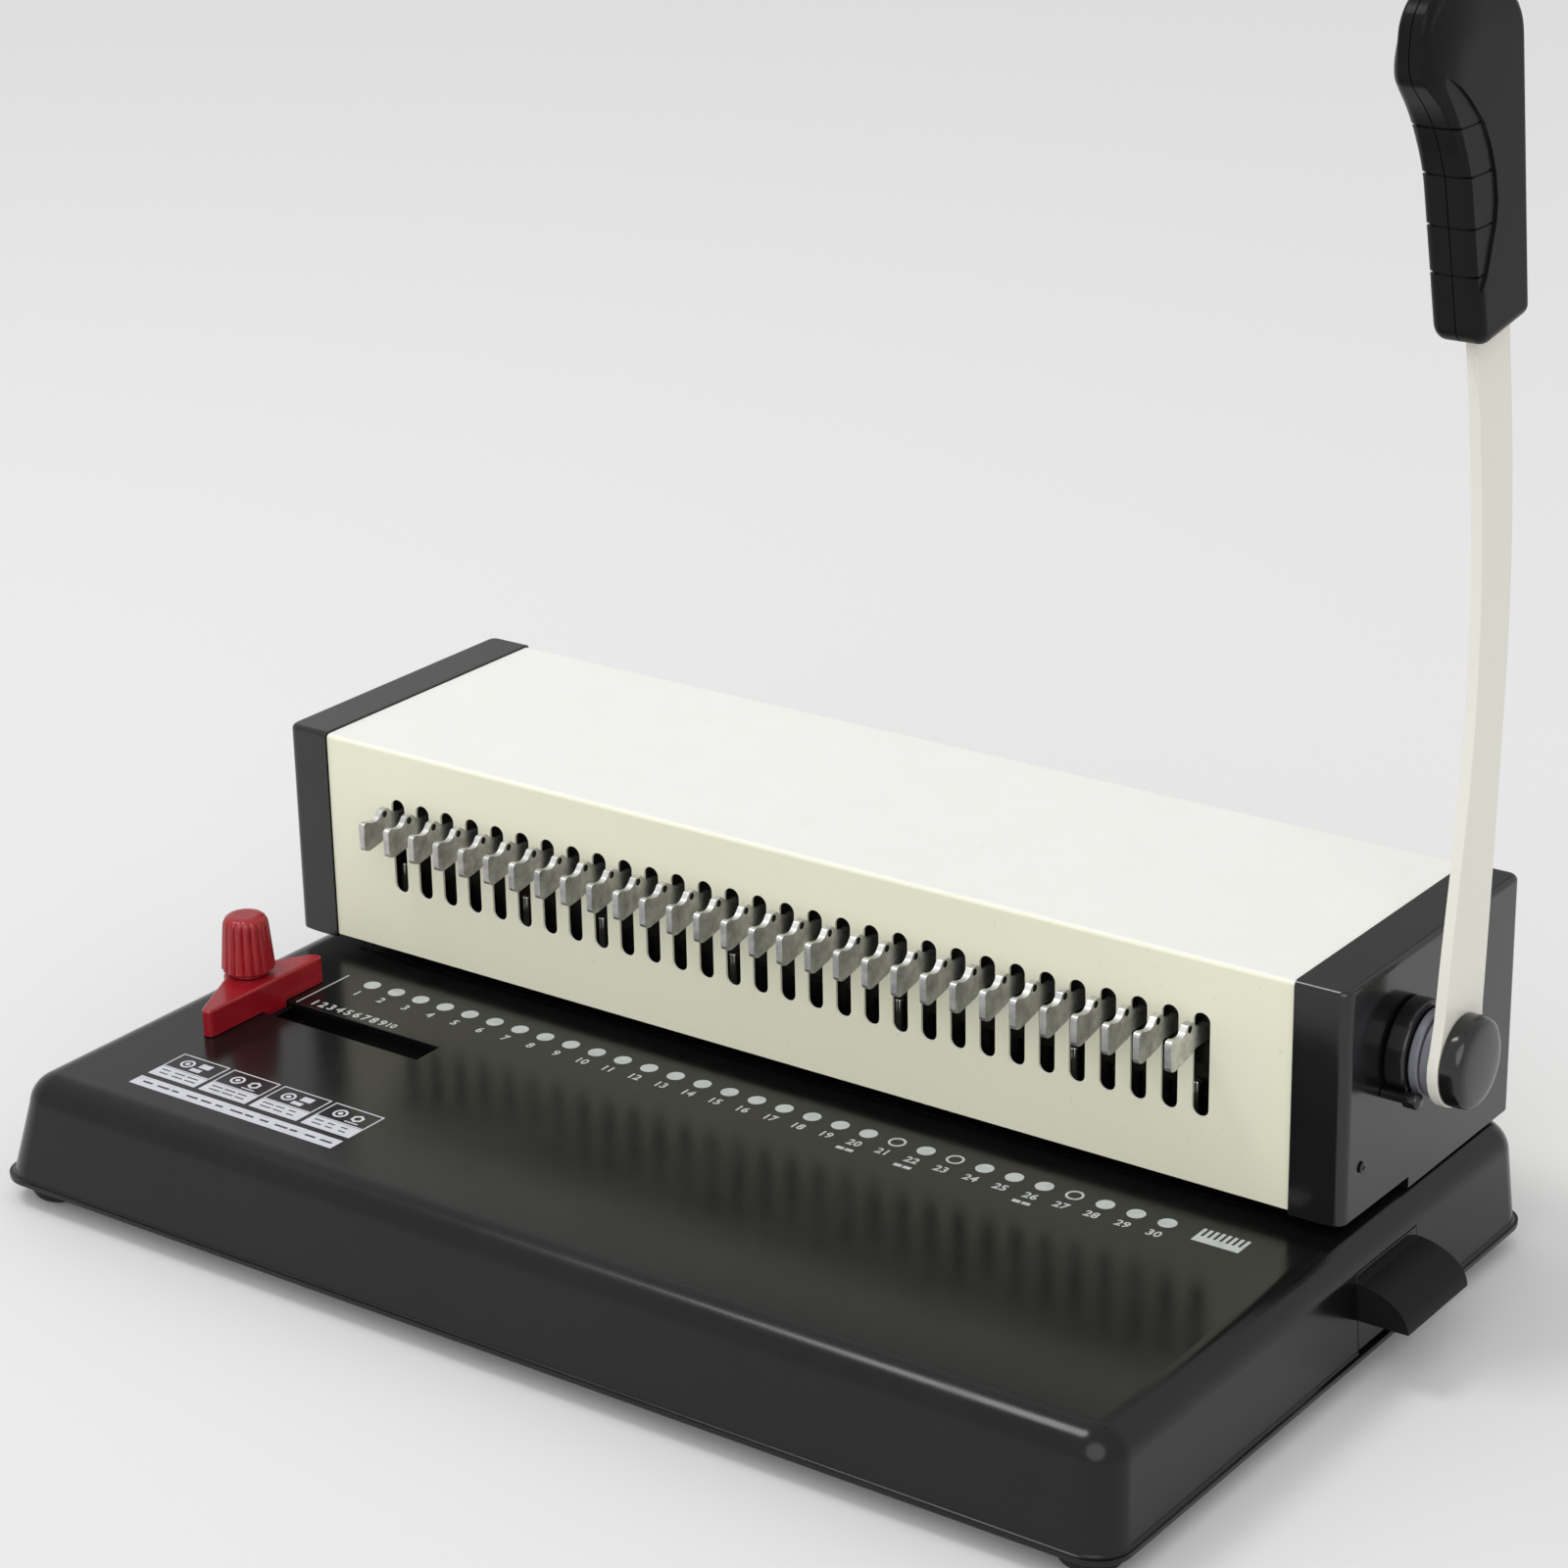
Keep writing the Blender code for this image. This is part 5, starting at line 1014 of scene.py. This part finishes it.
# %% Chip trough
floor_low, floor_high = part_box("tray_floor")
trough = new_box(floor_low, (floor_high.x, floor_high.y, side_top))
round_edges(trough, 2.0 * MM, 4, lambda edge: reaches(edge, 2, 5 * MM) and edge.verts[0].co.x < 0)
round_edges(trough, 1.0 * MM, 3, lambda edge: near(edge, 2, floor_low.z))
open_side(trough, lambda face: face.normal.z > 0.9)
new_piece("chip_trough", give_wall(face_outwards(trough, 2, -1), 1.5 * MM), base_plastic,
          ["tray_floor", "tray_side_front", "tray_side_rear", "tray_left_end"], recalculate=False)

# %% Drawer pull
PULL_HEIGHT, PULL_WALL = 10.5 * MM, 2.2 * MM
panel_x, pull_base = base_high.x - RIM, side_top - 13.0 * MM
pull_x = panel_x - PULL_WALL


def quarter_plate(reach, height, low, high):
    curve = arc_points((0, 0), 1, 90, 0, 24)
    points = [(pull_x + reach * u, pull_base + height * v) for u, v in curve]
    return drawn_plate(points + [(pull_x, pull_base)], "Y", low, high)


def pull_form():
    panel = new_box(panel_low, (panel_x, panel_high.y, side_top))
    for vert in panel.verts:
        if vert.co.x > panel_x - MM and vert.co.z > panel_low.z + MM:
            vert.co.x -= LEAN * (side_top - panel_low.z) / (base_high.z - base_low.z)
    round_edges(panel, 0.3 * MM, 3, lambda edge: all(vert.co.x > panel_low.x + 0.5 * MM for vert in edge.verts))
    reach = panel_high.x - panel_x + PULL_WALL
    body = quarter_plate(reach, PULL_HEIGHT, panel_low.y, panel_high.y)
    round_edges(body, 1.0 * MM, 4, lambda edge: near(edge, 1, panel_low.y, panel_high.y) and all(
        vert.co.x > panel_x - 0.3 * MM for vert in edge.verts) and not near(edge, 2, pull_base))
    hollow = quarter_plate(reach - PULL_WALL, PULL_HEIGHT - PULL_WALL, panel_low.y + PULL_WALL,
                           panel_high.y - PULL_WALL)
    return carve(panel, carve(body, shift(hollow, (0.5 * MM, 0, -0.3 * MM))), "UNION")


pull = new_piece("drawer_pull", pull_form(), grip_plastic, ["tray_pull"])
pull.data.materials.append(base_plastic)
for face in pull.data.polygons:
    face.material_index = int(face.center.x < panel_x + 0.1 * MM)


# %% [markdown]
# Four domed rubber feet carry the machine. Each is turned, with a wide rounding where it meets the desk.

# %% Rubber feet
def domed_foot(name):
    top = span_mm(name, 2)[1]
    profile = [(top, 0), (top, 9.0), (4.2, 9.0), (2.6, 8.75), (1.3, 8.1), (0.45, 7.1), (0.1, 6.0), (0.0, 5.0),
               (0.0, 0)]
    return turned_part(profile, "Z", middle_of(name, 0, 1), 48)


new_piece("domed_feet", join_meshes(bmesh.new(), *map(domed_foot, starting("rubber_foot"))), rubber,
          starting("rubber_foot"), sharp=50)


# %% [markdown]
# The table is printed in three inks: pale grey for the row of hole marks and the scale, white for a label
# with four small pictures, and dark for the bars on it. Ink is a real layer, so each print is a thin plate
# that stands 0.04 mm above the plastic, and the dark one stands as much above the white.

# %% Ink
INK = 0.04 * MM


def print_ink(name, colour):
    finish, tree, skin = start_finish(name, 0.35)
    smudge = place_effect(tree, marks, Patches_per_metre=180.0)["Smudge"]
    thin = add_range(tree, smudge, 0.0, 1.0, 0.0, 0.30)
    plug(tree, mix_colour(tree, thin, colour, tinted(colour, 0.45)), skin["Base Color"])
    plug(tree, add_range(tree, smudge, 0.0, 1.0, 0.42, 0.60), skin["Roughness"])
    return finish


grey_ink = print_ink("grey_ink", (0.500, 0.530, 0.525))
white_ink = print_ink("white_ink", (0.600, 0.610, 0.660))
dark_ink = print_ink("dark_ink", (0.030, 0.030, 0.035))
print("inks:", grey_ink.name, white_ink.name, dark_ink.name)

# %% Printed boxes, rings and words
def ink_box(x0, y0, x1, y1, level=1):
    return new_box((x0 * MM, y0 * MM, table_z - INK), (x1 * MM, y1 * MM, table_z + level * INK))


def ink_frame(x0, y0, x1, y1, line):
    return join_meshes(ink_box(x0, y0, x1, y0 + line), ink_box(x0, y1 - line, x1, y1),
                       ink_box(x0, y0 + line, x0 + line, y1 - line), ink_box(x1 - line, y0 + line, x1, y1 - line))


def ink_ring(x, y, outer, inner=0.0, segments=40):
    work = bmesh.new()
    bmesh.ops.create_circle(work, cap_ends=not inner, radius=outer * MM, segments=segments)
    if inner:
        inside = points_of(bmesh.ops.extrude_edge_only(work, edges=list(work.edges)))
        bmesh.ops.scale(work, vec=(inner / outer, inner / outer, 1), verts=inside)
    return shift(pull_outline(work, (0, 0, 2 * INK)), (x * MM, y * MM, table_z - INK))


def ink_text(words, x, y, height):
    """Centred words; the text becomes a mesh first and is placed afterwards."""
    curve = bpy.data.curves.new("words", "FONT")
    curve.body, curve.size, curve.extrude, curve.resolution_u = words, height * MM / 0.69, INK, 2
    curve.align_x = curve.align_y = "CENTER"
    curve.offset = 0.03 * height * MM
    return shift(shown_mesh(new_object("words", curve)), (x * MM, y * MM, table_z))


# %% [markdown]
# One mark for each hole, with its number in front of it. Three of them are open rings with two short bars
# beside them. At the left a fine line shows where the sheet's edge stands, and a row of numbers runs along
# the guide's track. At the right a small comb shows which side the binder spine goes on.

# %% Row of hole marks and scale
OPEN_MARKS = (21, 23, 27)
row_print = bmesh.new()
for number, x in enumerate(hole_x, 1):
    join_meshes(row_print, ink_ring(x / MM, -1.6, 2.6, 1.9 if number in OPEN_MARKS else 0.0),
                ink_text(str(number), x / MM, -8.6, 3.0))
for number in OPEN_MARKS:
    before = hole_x[number - 2] / MM
    for start in (before - 2.9, before + 0.1):
        join_meshes(row_print, ink_box(start, -13.6, start + 2.5, -12.2))
join_meshes(row_print, ink_box(-156.25, -23.3, -155.75, 0.0))
for number in range(1, 11):
    join_meshes(row_print, ink_text(str(number), -154.4 + number * 3.3, -20.6, 3.3 if number < 10 else 2.6))
join_meshes(row_print, ink_box(139.8, -6.0, 153.8, -3.0))
for tooth in range(8):
    join_meshes(row_print, ink_box(139.8 + tooth * 1.85, -3.0, 140.85 + tooth * 1.85, 1.2))
new_piece("printed_hole_marks", row_print, grey_ink, slot="grey_nylon", recalculate=False)


# %% [markdown]
# The label has four framed pictures over pale strips, and one longer strip in front of them. Each picture
# is a plain sign: a ring with a dot, and beside it two sheets or a six-sided ring over a line.

# %% Label with four pictures
label, small_print = bmesh.new(), bmesh.new()
LABEL_LEFT, LABEL_STEP, LABEL_WIDE = -158.2, 19.45, 17.9
for number in range(4):
    left = LABEL_LEFT + number * LABEL_STEP
    join_meshes(label, ink_frame(left, -77.4, left + LABEL_WIDE, -68.2, 0.45),
                ink_box(left, -83.4, left + LABEL_WIDE, -77.6), ink_ring(left + 5.6, -72.9, 2.3, 1.55, 24),
                ink_ring(left + 5.6, -72.9, 0.8, 0.0, 16))
    if number in (0, 2):
        join_meshes(label, ink_box(left + 9.6, -73.0, left + 13.6, -70.4),
                    ink_box(left + 8.6, -75.8, left + 12.4, -74.0))
    else:
        join_meshes(label, ink_ring(left + 12.0, -72.9, 2.1, 1.2, 6),
                    ink_box(left + 9.6, -76.0, left + 14.4, -75.5))
    for row in range(2):
        for word in range(3):
            start = left + 1.8 + word * 4.9 + row * 0.7
            join_meshes(small_print, ink_box(start, -79.6 - row * 2.0, start + 3.2 + 0.9 * math.sin(word + number),
                                             -79.1 - row * 2.0, 2))
join_meshes(label, ink_box(LABEL_LEFT - 0.2, -90.9, LABEL_LEFT + 3 * LABEL_STEP + LABEL_WIDE, -85.6))
for word in range(13):
    start = LABEL_LEFT + 3.0 + word * 5.6
    join_meshes(small_print, ink_box(start, -88.7, start + 3.6 + 1.1 * math.sin(2.3 * word), -87.9, 2))
new_piece("printed_label", label, white_ink, slot="grey_nylon", recalculate=False)
new_piece("printed_small_lines", small_print, dark_ink, recalculate=False)
